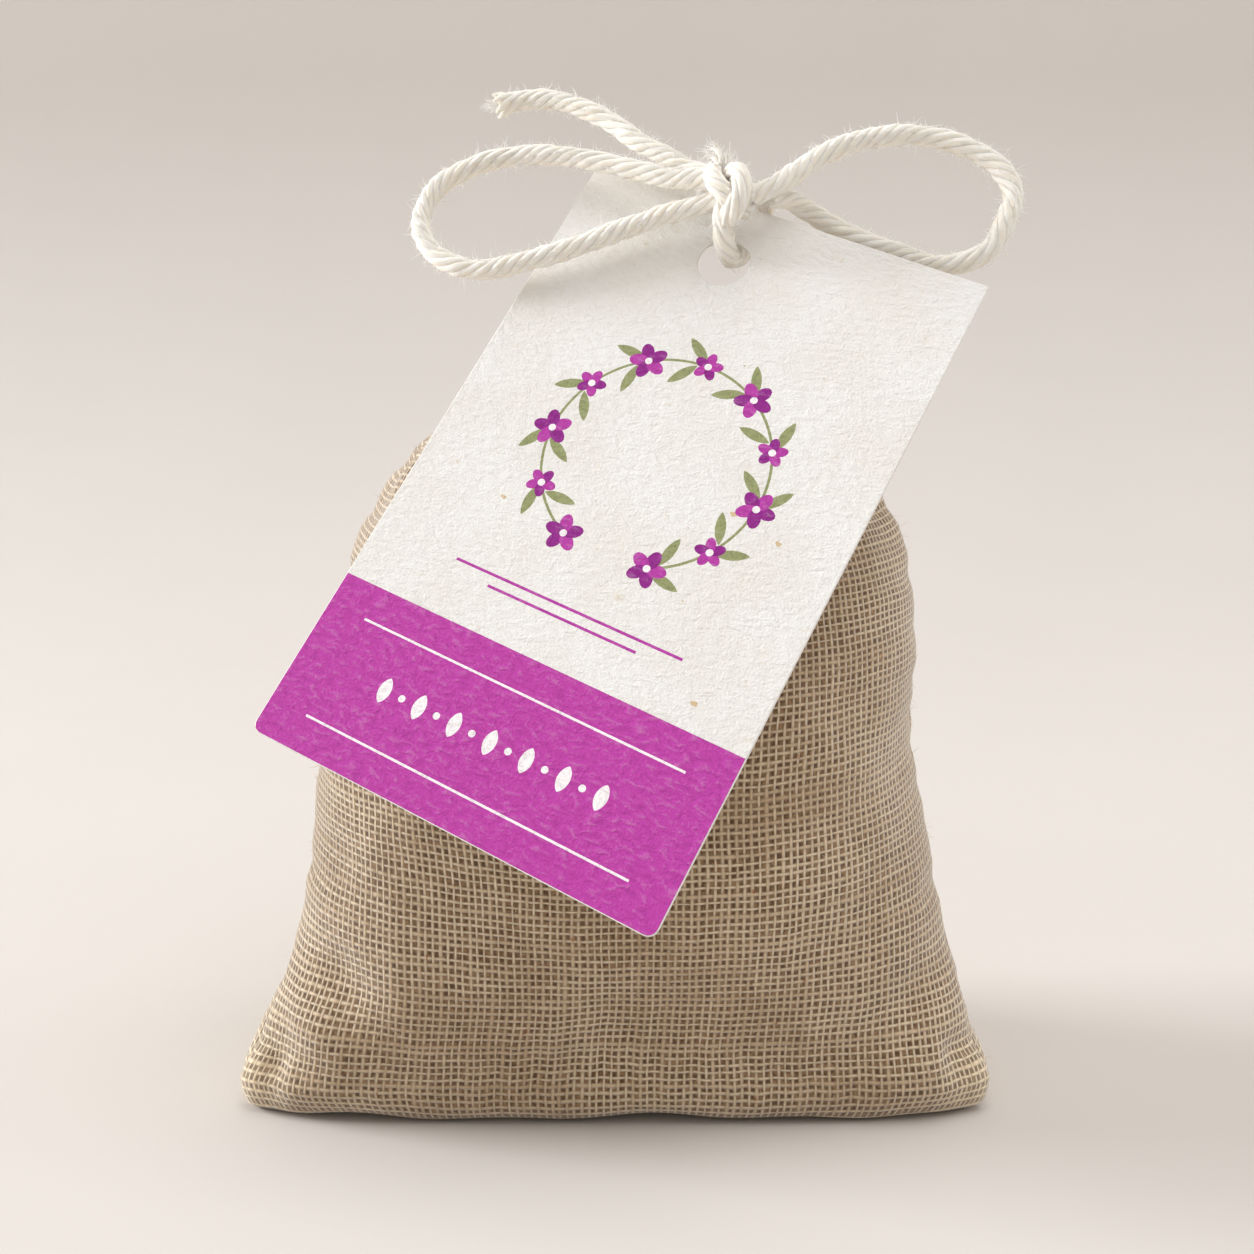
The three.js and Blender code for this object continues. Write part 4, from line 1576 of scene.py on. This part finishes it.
@dataclass(frozen=True)
class Twine:
    """Soft cotton twine of several yarns, laid left handed, with loose fibres that stay off the card."""

    card: CardPlane
    diameter: float = 2.5
    plies: int = 6
    lay: float = 11.0
    ply_radius: float = 0.53
    ply_offset: float = 0.72
    sides: int = 8
    step: float = 0.28
    breaths: tuple[Pair, ...] = ((0.07, 0.9), (0.04, 2.3))
    slack: float = 0.35
    slack_rate: float = 0.35
    fray_spread: float = 0.9
    fray_length: float = 3.0
    fray_taper: float = 1.6
    fray_tip: float = 0.35
    fray_fibres: int = 60
    fibres: float = 15.0
    fibre_root: float = 0.42
    fibre_radius: float = 0.038
    fibre_rise: Pair = (0.15, 1.0)
    fibre_run: Pair = (0.3, 1.2)
    fibre_stray: float = 0.25
    fibre_gamma: Pair = (2.4, 0.45)
    fibre_least: float = 0.35
    fibre_limit: float = 2.1
    tuft_radius: float = 0.028
    tuft_width: float = 0.6

    def add(
        self,
        builder: MeshBuilder,
        path: Array,
        rng: np.random.Generator,
        frayed: bool = False,
        fuzz: float = 1.0,
    ) -> None:
        """Lay the twine along a line.

        Args:
            builder: Mesh that takes the twine.
            path: Evenly spaced middle line.
            rng: Source of its irregularity.
            frayed: Whether the plies part at the end.
            fuzz: Share of the usual loose fibres.
        """
        tangents, normals, binormals = path_frames(path)
        run = np.linspace(0, run_along(path)[-1], len(path))
        total = run[-1]
        spread, taper = np.ones(len(path)), np.ones(len(path))
        if frayed:
            away = total - run
            spread += self.fray_spread * np.clip(1 - away / self.fray_length, 0, 1) ** 2
            taper *= np.clip(away / self.fray_taper + self.fray_tip, 0, 1)
        waves = (size * np.sin(run * rate + rng.uniform(0, 6)) for size, rate in self.breaths)
        breathe = sum(waves, 1.0)
        slack = self.slack * np.sin(run * self.slack_rate + rng.uniform(0, 6))
        for ply in range(self.plies):
            angle = -2 * math.pi * (run / self.lay + ply / self.plies) + slack
            offset = self.ply_offset * spread * breathe
            line = path + offset[:, None] * around(angle, normals, binormals)
            wave = 1 + 0.06 * np.sin(run * 1.7 + 2 * ply + rng.uniform(0, 6))
            radius = self.ply_radius * wave * taper
            low, high = (REST_STRIP + (1 - REST_STRIP) * (ply + k) / self.plies for k in (0.02, 0.98))
            add_tube(builder, line, radius, self.sides, ply + rng.uniform(0, 20), (low, high))
        count = int(total * self.fibres * fuzz)
        pick = rng.integers(0, len(path), count)
        radial = around(rng.uniform(0, 2 * math.pi, count), normals[pick], binormals[pick])
        forward = tangents[pick] * rng.choice([-1.0, 1.0], count)[:, None]
        heading = radial * rng.uniform(*self.fibre_rise, (count, 1))
        heading += forward * rng.uniform(*self.fibre_run, (count, 1))
        heading += rng.normal(0, self.fibre_stray, (count, 3))
        roots = path[pick] + radial * self.fibre_root * self.diameter
        lengths = rng.gamma(*self.fibre_gamma, count) + self.fibre_least
        lengths = np.minimum(lengths, self.card.room(roots))
        add_hairs(builder, roots, heading, np.minimum(lengths, self.fibre_limit), rng, self.fibre_radius)
        if frayed:
            self.tuft(builder, path[-1], tangents[-1], rng, self.fray_fibres)

    def tuft(
        self,
        builder: MeshBuilder,
        root: Array,
        heading: Array,
        rng: np.random.Generator,
        count: int,
        longest: float = 2.2,
    ) -> None:
        """Add a brush of loose fibres.

        Args:
            builder: Mesh that takes the fibres.
            root: Middle of the brush.
            heading: Which way it points.
            rng: Source of its irregularity.
            count: Number of fibres.
            longest: Longest fibre.
        """
        roots = root + np.clip(rng.normal(0, 0.42, (count, 3)), -self.tuft_width, self.tuft_width)
        headings = unit(heading) + rng.normal(0, 0.42, (count, 3))
        add_hairs(builder, roots, headings, rng.uniform(0.9, longest, count), rng, self.tuft_radius)

    def locks(
        self,
        builder: MeshBuilder,
        root: Array,
        heading: Array,
        rng: np.random.Generator,
        count: int,
    ) -> None:
        """Add thin curly locks of an unravelled end.

        Args:
            builder: Mesh that takes the locks.
            root: Where they start.
            heading: Which way they point.
            rng: Source of their curls.
            count: Number of locks.
        """
        rise = np.array([0.0, 0.45, 0.85, 1.0])[:, None]
        turn = np.array([0.0, 0.06, 0.3, 0.62])[:, None]
        for _ in range(count):
            side = unit(np.cross(heading, rng.normal(size=3)))
            size, bend = rng.uniform(1.4, 2.9), rng.uniform(0.3, 1.0)
            start = root + np.clip(rng.normal(0, 0.4, 3), -self.tuft_width, self.tuft_width)
            path = smooth_path(start + size * (rise * unit(heading) + bend * turn * side), 0.15)
            radius = np.linspace(rng.uniform(0.16, 0.3), 0.05, len(path))
            add_tube(builder, path, radius, 6, rng.uniform(0, 20))

    def piece(self, name: str, path: Array, seed: int, frayed: bool = False) -> Object:
        """Make one stretch of twine.

        Args:
            name: Name of the piece.
            path: Its middle line.
            seed: Number that sets its irregularity.
            frayed: Whether the plies part at its end.

        Returns:
            The piece.
        """
        builder = MeshBuilder()
        self.add(builder, path, np.random.default_rng(SEED + seed), frayed)
        return builder.build(name)


@dataclass
class Tie:
    """The twine that closes the neck and rises to the knot."""

    card: CardPlane
    twine: Twine
    turns: float = 2.03
    pitch: float = 2.95
    radius: float = 7.95
    foot: float = 88.5
    start: float = math.radians(-95)
    gap: float = 0.3
    lead: float = 2.0
    seed: int = 20
    left: Route = (
        (-22.1, 27.2, -2.6), (-21.3, 31.8, -2.5), (-17.4, 37.2, -2.7), (-13.4, 41.4, -3),
        (-10.9, 43.9, -2.4), (-9.8, 44.2, -1), (-9.6, 43.7, 0.1),
    )
    right: Route = (
        (-8.4, 25.6, -3.7), (-9.1, 29.7, -2.8), (-10.4, 34.2, -2.8), (-9.4, 39, -3.1),
        (-7.6, 42.7, -2.6), (-6.8, 43.8, -0.9), (-6.9, 43.1, 0.7),
    )

    def winding(self, share: Array) -> Array:
        """Find where the twine lies round the neck.

        Args:
            share: Shares of the winding.

        Returns:
            The points.
        """
        angle = self.start - 2 * math.pi * self.turns * share
        z = self.foot + self.pitch * self.turns * share
        low, high = SECTIONS[NECK_ROW], SECTIONS[NECK_ROW + 1]
        y = low[4] + (z - low[0]) / (high[0] - low[0]) * (high[4] - low[4])
        return np.stack([low[1] + self.radius * np.cos(angle), y + self.radius * np.sin(angle), z], axis=-1)

    def strand(self, share: float, route: Sequence[Point]) -> Array:
        """Lead an end of the winding up to the knot.

        Args:
            share: Which end of the winding it is, 0 or 1.
            route: The rest of its way, on the card.

        Returns:
            Its middle line.
        """
        sign = 1.0 if share > 0.5 else -1.0
        end = self.winding(np.array([share]))[0]
        before = self.winding(np.array([share - sign * 0.01]))[0]
        ahead = unit(end - before)
        first = end + ahead * self.gap
        second = first + ahead * self.lead
        return smooth_path(np.vstack([first, second, self.card.place(route)]), self.twine.step)

    def build(self, wardrobe: Wardrobe) -> None:
        """Make and place the tie.

        Args:
            wardrobe: Materials.
        """
        coil = resample(self.winding(np.linspace(0, 1, 200)), self.twine.step)
        stretches = (
            ("winding_twine", coil, "neck_winding"),
            ("left_strand_twine", self.strand(1.0, self.left), "left_neck_strand"),
            ("right_strand_twine", self.strand(0.0, self.right), "right_neck_strand"),
        )
        for seed, (name, path, node) in enumerate(stretches):
            piece = self.twine.piece(name, path, self.seed + seed)
            wardrobe.fit(piece, Slot.TWINE, Body.POUCH, node)


@dataclass
class Bow:
    """The knot, its two loops, its two ends and the twine through the card's hole."""

    card: CardPlane
    twine: Twine
    knot_seed: int = 50
    seed: int = 60
    knot: Point = (-5.8, 39.6, 3.7)
    brush: Point = (-2.3, 1.9, 1.5)
    cleft: Point = (-1.0, 1.5, 1.5)
    core_shifts: tuple[Point, ...] = ((0.0, 0.9, -0.6), (0.0, -0.9, -0.6), (0.0, 0.0, 0.5))
    core: Route = (
        (-2.6, 0, -0.3), (-1.2, 0, 0.1), (0.2, 0, 0.2), (1.4, 0, 0.1), (2.5, 0, -0.3),
    )
    left_loop: Route = (
        (-7.2, 39.9, 4.2), (-9.5, 39.9, 4.5), (-13.7, 38.8, 4), (-18.1, 38.7, 3.6), (-27.1, 38, 3),
        (-32.6, 36.7, 2.7), (-38.5, 33.3, 2.4), (-42, 28, 2.2), (-41.1, 22.8, 2.1),
        (-36.8, 19.6, 2.2), (-30.4, 19.7, 2.4), (-25.9, 22.6, 2.5), (-22.1, 25.7, 2.5),
        (-16.6, 31.1, 2.6), (-11.8, 35.3, 2.9), (-9.2, 37.1, 3.2), (-7.2, 38.3, 3.5),
    )
    right_loop: Route = (
        (-3.6, 39.9, 4), (-1.8, 41.9, 4.2), (-0.9, 44.6, 3.4), (1.4, 50.2, 2.2), (5.6, 54.7, 1.4),
        (10.1, 57.1, 0.7), (15.2, 57.8, 0.1), (20, 56.9, -0.6), (22.7, 54.5, -1.2),
        (23.3, 50.5, -1.8), (22.9, 46.8, -2.2), (20.3, 44.2, -2.6), (17.5, 43.2, -2.8),
        (13.6, 43.3, -2.9), (7.9, 43.5, -2.9), (3.7, 44, -2.5), (0.8, 44.2, -1.5),
        (-0.9, 43.6, 0.2), (-2.6, 42, 1.8),
    )
    long_tail: Route = (
        (-6.8, 41, 3), (-8.5, 41.8, 2.5), (-10.6, 42, 2.2), (-13.2, 42.1, 2), (-17.3, 42.9, 1.9),
        (-21.1, 43.6, 1.8), (-25.9, 45.2, 1.6), (-30.8, 46.1, 1.4), (-35.6, 46.1, 1.1),
        (-39.35, 44.8, 1), (-42.1, 42.8, 1),
    )
    short_tail: Route = (
        (-8.2, 41.5, 5.0), (-8.8, 42.1, 5.4), (-9.5, 42.8, 5.5), (-10.2, 43.1, 5.3),
    )
    tag_loop: Route = (
        (-5.3, 38.6, 5.6), (-5.6, 37.1, 4.9), (-5.4, 35.8, 3.7), (-4.9, 34.7, 2.2),
        (-4.4, 34.25, 0.5), (-4.25, 34.3, -0.9), (-4.1, 35.4, -2.35), (-4, 37.3, -3),
        (-3.9, 39.6, -3), (-3.9, 42, -2.6), (-3.9, 43.5, -1.4), (-3.9, 43.6, 0.2),
        (-4.1, 42.4, 1.6),
    )
    straps: tuple[Route, ...] = (
        (
            (-2.9, 2.0, -0.9), (-3.2, 1.3, 0.9), (-2.7, 0.1, 2.0), (-1.6, -1.0, 2.5),
            (-0.3, -1.7, 2.4), (0.8, -2.1, 1.5), (1.2, -2.2, 0.0),
        ),
        (
            (-1.2, 1.2, -0.4), (-0.9, 1.5, 1.3), (0.1, 1.2, 2.5), (1.1, 0.2, 3.0), (1.7, -1.1, 2.9),
            (1.8, -2.5, 2.2), (1.3, -3.4, 1.1), (0.6, -3.6, -0.3),
        ),
    )

    def path(self, route: Sequence[Point]) -> Array:
        """Turn a route across, up and out of the card into a middle line."""
        return smooth_path(self.card.place(route), self.twine.step)

    def knot_piece(self) -> Object:
        """Make the knot: a packed core, two straps that cross on it and a brush of fibres on top.

        Returns:
            The piece.
        """
        rng = np.random.default_rng(SEED + self.knot_seed)
        builder = MeshBuilder()
        middle = np.asarray(self.knot)
        for shift in self.core_shifts:
            route = middle + np.asarray(self.core) + np.asarray(shift)
            self.twine.add(builder, self.path(route), rng, fuzz=0.3)
        for strap in self.straps:
            self.twine.add(builder, self.path(middle + np.asarray(strap)), rng, fuzz=1.2)
        across, up, _ = self.card.axes()
        brush, cleft = self.card.place(middle + np.array([self.brush, self.cleft]))
        heading = up - 0.4 * across
        self.twine.locks(builder, brush, heading, rng, 7)
        self.twine.tuft(builder, brush, heading, rng, 90, 3.2)
        self.twine.tuft(builder, cleft, up, rng, 70, 1.8)
        return builder.build("knot_twine")

    def build(self, wardrobe: Wardrobe) -> None:
        """Args:
            wardrobe: Materials.
        """
        wardrobe.fit(self.knot_piece(), Slot.TWINE, Body.BOW, "bow_knot")
        stretches = (
            ("left_loop_twine", self.left_loop, "left_bow_loop", False),
            ("right_loop_twine", self.right_loop, "right_bow_loop", False),
            ("long_tail_twine", self.long_tail, "long_tail", True),
            ("short_tail_twine", self.short_tail, "short_tail", True),
            ("tag_loop_twine", self.tag_loop, "tag_loop", False),
        )
        parted = replace(self.twine, plies=3, ply_radius=0.3, ply_offset=0.36, diameter=1.4)
        for seed, (name, route, node, frayed) in enumerate(stretches):
            path = self.path(route)
            twine = parted if node == "short_tail" else self.twine
            piece = twine.piece(name, path, self.seed + seed, frayed)
            wardrobe.fit(piece, Slot.TWINE, Body.BOW, node)


@dataclass(frozen=True)
class Ink:
    """Colours of the print."""

    band: Colour = srgb(190, 64, 166)
    petal: Colour = srgb(184, 62, 166)
    deep: Colour = srgb(146, 36, 138)
    leaf: Colour = srgb(150, 156, 108)
    white: Colour = srgb(250, 244, 246)


@dataclass
class Tag:
    """The card tag with its printed band and a plain ring of leaves and blossoms."""

    card: CardPlane
    ink: Ink = Ink()
    width: float = 51.0
    height: float = 82.0
    corner: float = 1.2
    top_corner: float = 0.3
    hole_diameter: float = 6.35
    hole: Pair = (-4.25, 32.9)
    band_top: float = -20.4
    bevel: float = 0.09
    grid: float = 1.25
    wave: float = 0.05
    wave_scale: float = 0.07
    sharp: float = math.radians(28)
    hole_points: int = 60
    jitter: float = 0.3
    seed: int = 90
    grain_levels: tuple[float, ...] = (0.0, 0.1, 0.3, 40.0)
    white_rules: tuple[Pair, ...] = ((20.5, -24.4), (20.5, -36.9))
    white_rule_half: float = 0.14
    plain_rules: tuple[Pair, ...] = ((14.5, -13.6), (9.5, -15.0))
    plain_rule_half: float = 0.17
    ornament_level: float = -30.6
    ornament_pitch: float = 4.6
    ornament_reach: int = 3
    lozenge: Pair = (1.5, 0.75)
    dot: float = 0.42
    ring_middle: Pair = (0.6, 6.2)
    ring_radius: float = 13.2
    stem_half: float = 0.16
    stem_ends: Pair = (-72.0, 252.0)
    blossoms: int = 11
    blossom_ends: Pair = (-66.0, 246.0)
    leaf_end: float = 250.0
    leaf_offset: float = 1.7
    leaf_tilt: float = 0.75
    leaf: Pair = (2.0, 0.62)
    petal: Pair = (1.2, 0.78)
    petals: int = 5
    petal_offset: float = 1.15
    small_blossom: float = 0.78
    heart: float = 0.45

    def outline(self) -> Array:
        """Draw the card's edge.

        Returns:
            Points in turn, anticlockwise.
        """
        x, y = self.width / 2, self.height / 2
        corners = (
            (x, -y, self.corner, -90),
            (x, y, self.top_corner, 0),
            (-x, y, self.top_corner, 90),
            (-x, -y, self.corner, 180),
        )
        points = []
        for px, py, radius, start in corners:
            mid = np.array([px - math.copysign(radius, px), py - math.copysign(radius, py)])
            for k in range(9):
                points.append(mid + radius * spoke(math.radians(start + 90 * k / 8)))
        closed = np.array(points + points[:1])
        dense = []
        for a, b in zip(closed, closed[1:]):
            count = max(1, int(np.linalg.norm(b - a) / 0.9))
            dense += [a + (b - a) * k / count for k in range(count)]
        return np.array(dense)

    @staticmethod
    def bar(wide: float, level: float, half: float) -> Array:
        """Draw a level bar from half its length, its height and half its thickness."""
        low, high = level - half, level + half
        return np.array([(-wide, low), (wide, low), (wide, high), (-wide, high)])

    @staticmethod
    def oval(
        middle: Point, long: float, short: float, turn: float, count: int = 14, point: float = 1.0
    ) -> Array:
        """Draw an oval or a pointed leaf.

        Args:
            middle: Its middle.
            long: Half its length.
            short: Half its width.
            turn: Which way its length runs.
            count: Number of points.
            point: Above 1 sharpens the ends.

        Returns:
            Points in turn, anticlockwise.
        """
        angle = np.arange(count) * 2 * math.pi / count
        x = long * np.cos(angle)
        y = short * np.sign(np.sin(angle)) * np.abs(np.sin(angle)) ** point
        c, s = math.cos(turn), math.sin(turn)
        return np.asarray(middle) + np.stack([c * x - s * y, s * x + c * y], axis=1)

    def shapes(self) -> list[tuple[Array, Colour]]:
        """Lay out the print, from the bottom layer up.

        Returns:
            Outlines with their colours.
        """
        ink, x = self.ink, self.width / 2
        below = -self.height
        shapes = [(np.array([(-x, below), (x, below), (x, self.band_top), (-x, self.band_top)]), ink.band)]
        shapes += [(self.bar(*rule, self.white_rule_half), ink.white) for rule in self.white_rules]
        level, pitch, reach = self.ornament_level, self.ornament_pitch, self.ornament_reach
        for k in range(-reach, reach + 1):
            shapes.append((self.oval((pitch * k, level), *self.lozenge, math.pi / 2, 24, 1.5), ink.white))
        for k in range(-reach, reach):
            middle = (pitch * k + pitch / 2, level)
            shapes.append((self.oval(middle, self.dot, self.dot, 0.0, 16), ink.white))
        shapes += [(self.bar(*rule, self.plain_rule_half), ink.petal) for rule in self.plain_rules]
        return shapes + self.wreath()

    def wreath(self) -> list[tuple[Array, Colour]]:
        """Lay out the open ring: its stem, its leaves and its blossoms.

        Returns:
            Outlines with their colours.
        """
        ink, mid = self.ink, np.asarray(self.ring_middle)
        bend = np.linspace(*(math.radians(end) for end in self.stem_ends), 90)
        sides = (self.stem_half, -self.stem_half)
        outer, inner = (mid + (self.ring_radius + side) * spoke(bend) for side in sides)
        shapes = [(np.vstack([outer, inner[::-1]]), ink.leaf)]
        angles = [math.radians(turn) for turn in np.linspace(*self.blossom_ends, self.blossoms)]
        for angle in angles:
            for side, lead in ((1.0, 0.13), (-1.0, 0.21)):
                at = angle + lead
                if at > math.radians(self.leaf_end):
                    continue
                root = mid + spoke(at) * (self.ring_radius + side * self.leaf_offset)
                tilt = at + (math.pi / 2 - side * self.leaf_tilt)
                shapes.append((self.oval(root, *self.leaf, tilt, 16, 1.7), ink.leaf))
        for k, angle in enumerate(angles):
            heart = mid + self.ring_radius * spoke(angle)
            size = self.small_blossom if k % 2 else 1.0
            for petal in range(self.petals):
                lean = angle + petal * 2 * math.pi / self.petals
                root = heart + self.petal_offset * size * spoke(lean)
                colour = ink.petal if (petal + k) % 2 else ink.deep
                long, short = self.petal
                shapes.append((self.oval(root, long * size, short * size, lean, 14), colour))
            shapes.append((self.oval(heart, self.heart, self.heart, 0.0, 10), ink.white))
        return shapes

    def flat_mesh(self) -> tuple[Array, Array, Array]:
        """Triangulate the card's face along the edges of its print.

        Returns:
            Points, triangles and the ink of each triangle.
        """
        rng = np.random.default_rng(SEED + self.seed)
        edge = self.outline()
        turn = np.linspace(0, 2 * math.pi, self.hole_points, endpoint=False)
        hole = np.asarray(self.hole) + self.hole_diameter / 2 * spoke(turn)
        shapes = self.shapes()
        loops = [edge, hole] + [outline for outline, _ in shapes]
        x = np.arange(-self.width / 2 + 0.9, self.width / 2 - 0.8, self.grid)
        y = np.arange(-self.height / 2 + 0.9, self.height / 2 - 0.8, self.grid)
        inside = np.array([(a, b) for a in x for b in y])
        inside += rng.uniform(-self.jitter, self.jitter, inside.shape)
        points, faces, count = [], [], 0
        for loop in loops:
            faces.append(list(range(count, count + len(loop))))
            points.append(loop)
            count += len(loop)
        points.append(inside)
        coords = [Vector(p) for p in np.concatenate(points)]
        found = geometry.delaunay_2d_cdt(coords, [], faces, 0, 1e-4, True)
        corners, triangles, inks = np.array(found[0]), [], []
        for triangle, origin in zip(found[2], found[5]):
            if 0 not in origin or 1 in origin:
                continue
            layers = [k for k in origin if k > 1]
            triangles.append(triangle)
            inks.append(shapes[max(layers) - 2][1] if layers else (0.0, 0.0, 0.0, 0.0))
        return corners, np.array(triangles), np.array(inks)

    @staticmethod
    def rim(triangles: Array) -> Array:
        """Find the open edges of a mesh.

        Args:
            triangles: Three point numbers for each triangle.

        Returns:
            Two point numbers for each edge.
        """
        edges = [pair for a, b, c in triangles.tolist() for pair in ((a, b), (b, c), (c, a))]
        known = set(edges)
        return np.array([(a, b) for a, b in edges if (b, a) not in known])

    @staticmethod
    def outward(flat: Array, rim: Array) -> Array:
        """Find which way leads off the card at its edges.

        Args:
            flat: Points of the face.
            rim: Its open edges.

        Returns:
            A direction for each point, none away from the edges.
        """
        ways = np.zeros((len(flat), 2))
        for a, b in rim:
            way = flat[b] - flat[a]
            side = np.array([way[1], -way[0]]) / max(np.linalg.norm(way), TINY)
            ways[a] += side
            ways[b] += side
        return ways / np.maximum(np.linalg.norm(ways, axis=1, keepdims=True), TINY)

    def shell(self, flat: Array, triangles: Array) -> Object:
        """Give the face its thickness, a bevelled edge and a back.

        Args:
            flat: Points of the face.
            triangles: Triangles of the face, which come first in the piece.

        Returns:
            The piece.
        """
        count, thick = len(flat), self.card.thick
        rim = self.rim(triangles)
        border = np.unique(rim)
        short = flat.copy()
        short[border] -= self.outward(flat, rim)[border] * self.bevel
        wave = self.wave * perlin(np.column_stack([flat, np.zeros(count)]), self.wave_scale)
        levels = ((short, 0.0), (flat, -self.bevel), (flat, self.bevel - thick), (short, -thick))
        layers = np.concatenate([np.column_stack([plan, wave + out]) for plan, out in levels])
        whole = np.arange(count)
        kept = np.concatenate([whole, count + border, 2 * count + border, 3 * count + whole])
        number = np.zeros(4 * count, int)
        number[kept] = np.arange(len(kept))
        faces = [triangles, number[triangles[:, ::-1] + 3 * count]]
        a, b = rim.T
        for low in (0, count, 2 * count):
            high = low + count
            faces.append(number[np.stack([b + low, a + low, a + high, b + high], 1)])
        marks = np.concatenate([np.column_stack([flat, np.full(count, z)]) for z in self.grain_levels])
        along = 0.5 + (1 - 2 * CHART_MARGIN) * flat[:, 1] / self.height
        face = np.stack([along, 0.36 + 0.64 * flat[:, 0] / self.width], axis=1)
        back = face * (1.0, 0.4) + (0.0, 0.71)
        charts = [face[triangles], back[triangles[:, ::-1]]]
        builder = MeshBuilder()
        builder.add(self.card.place(layers[kept]), faces, marks[kept], charts=charts)
        return builder.build("printed_card")

    def build(self, wardrobe: Wardrobe) -> None:
        """Make, print and place the card.

        Args:
            wardrobe: Materials.
        """
        flat, triangles, inks = self.flat_mesh()
        used, numbers = np.unique(triangles, return_inverse=True)
        triangles = numbers.reshape(-1, 3)
        piece = self.shell(flat[used], triangles)
        piece.data.set_sharp_from_angle(angle=self.sharp)
        layer = piece.data.attributes.new("ink", "FLOAT_COLOR", "CORNER")
        colours = np.zeros((len(piece.data.loops), 4), np.float32)
        colours[: triangles.size] = np.repeat(inks, 3, axis=0)
        layer.data.foreach_set("color", colours.ravel())
        wardrobe.fit(piece, Slot.CARD, Body.TAG, "tag_card")


@dataclass(frozen=True)
class Lamp:
    """A soft square lamp: its place, aim and side in metres, its power in watts and its colour."""

    name: str
    place: Point
    aim: Point
    size: float
    power: float
    colour: Point


@dataclass
class Studio:
    """Pale floor, soft daylight and the camera."""

    camera_place: Point = (1.4, -167.0, 77.8)
    pitch: float = 8.0
    lens: float = 40.0
    sensor: float = 36.0
    near: float = 0.005
    far: float = 20.0
    floor_colour: Colour = srgb(206, 200, 194)
    floor_shade: Colour = srgb(196, 190, 183)
    floor_front: float = -900.0
    floor_half: float = 1500.0
    bend_start: float = 300.0
    bend: float = 250.0
    wall_top: float = 1200.0
    sky: Colour = (0.97, 0.93, 0.885, 1.0)
    sky_strength: float = 0.55
    lamps: tuple[Lamp, ...] = (
        Lamp("key", (0.35, -0.1, 1.45), (0.0, 0.05, 0.06), 1.3, 13.4, (0.97, 0.98, 1.0)),
        Lamp("side", (-2.2, 0.4, 0.85), (0.0, 0.0, 0.06), 1.0, 76.0, (0.93, 0.965, 1.0)),
        Lamp("edge", (1.7, 0.35, 0.6), (0.0, 0.0, 0.06), 0.8, 5.5, (0.93, 0.965, 1.0)),
    )

    def build_floor(self) -> None:
        """Make a pale floor that curves up into a backdrop."""
        profile = [(self.floor_front, 0.0), (self.bend_start, 0.0)]
        for angle in np.linspace(0.1, math.pi / 2, 16):
            rise = self.bend * (1 - math.cos(angle))
            profile.append((self.bend_start + self.bend * math.sin(angle), rise))
        profile.append((self.bend_start + self.bend, self.wall_top))
        sides = (-self.floor_half, self.floor_half)
        grid = np.array([[(x, y, z) for x in sides] for y, z in profile])
        builder = MeshBuilder()
        builder.add(grid, [grid_faces(len(profile), 2)], grid)
        floor = builder.build("floor")
        material, g, shader = new_material("pale_floor")
        cloud = g.noise(g.attribute("grain"), 0.012, 3.0).outputs[0]
        colour = g.mix(g.remap(cloud, 0.3, 0.7, 0.0, 0.12), self.floor_colour, self.floor_shade)
        g.fill(shader, {"Base Color": colour, "Roughness": 0.95, "Specular IOR Level": 0.1})
        floor.data.materials.append(material)

    def build_lights(self) -> None:
        """Hang the lamps and light the world."""
        scene = bpy.context.scene
        for lamp in self.lamps:
            light = bpy.data.lights.new(lamp.name, "AREA")
            light.shape = "SQUARE"
            light.size = lamp.size
            light.energy = lamp.power
            light.color = lamp.colour
            made = bpy.data.objects.new(lamp.name, light)
            made.location = lamp.place
            way = Vector(lamp.aim) - Vector(lamp.place)
            made.rotation_euler = way.to_track_quat("-Z", "Y").to_euler()
            made.visible_camera = False
            scene.collection.objects.link(made)
        world = scene.world or bpy.data.worlds.new("daylight")
        scene.world = world
        world.use_nodes = True
        sky = world.node_tree.nodes["Background"]
        sky.inputs["Color"].default_value = self.sky
        sky.inputs["Strength"].default_value = self.sky_strength

    def build_camera(self) -> None:
        """Set up the camera."""
        scene = bpy.context.scene
        lens = bpy.data.cameras.new("camera")
        lens.lens = self.lens
        lens.sensor_width = self.sensor
        lens.clip_start = self.near
        lens.clip_end = self.far
        camera = bpy.data.objects.new("camera", lens)
        camera.location = Vector(self.camera_place) * MM
        camera.rotation_euler = (math.radians(90 - self.pitch), 0.0, 0.0)
        scene.collection.objects.link(camera)
        scene.camera = camera
        scene.view_settings.view_transform = "Standard"

    def build(self) -> None:
        """Make the floor, the lights and the camera."""
        self.build_floor()
        self.build_lights()
        self.build_camera()


def main() -> None:
    """Build every piece, then the studio."""
    logging.basicConfig(level=logging.INFO, format="%(name)s: %(message)s")
    wardrobe = Wardrobe()
    card = CardPlane()
    twine = Twine(card)
    Bow(card, twine).build(wardrobe)
    Tie(card, twine).build(wardrobe)
    Tag(card).build(wardrobe)
    Pouch(card).build(wardrobe)
    Studio().build()


if __name__ == "__main__":
    main()
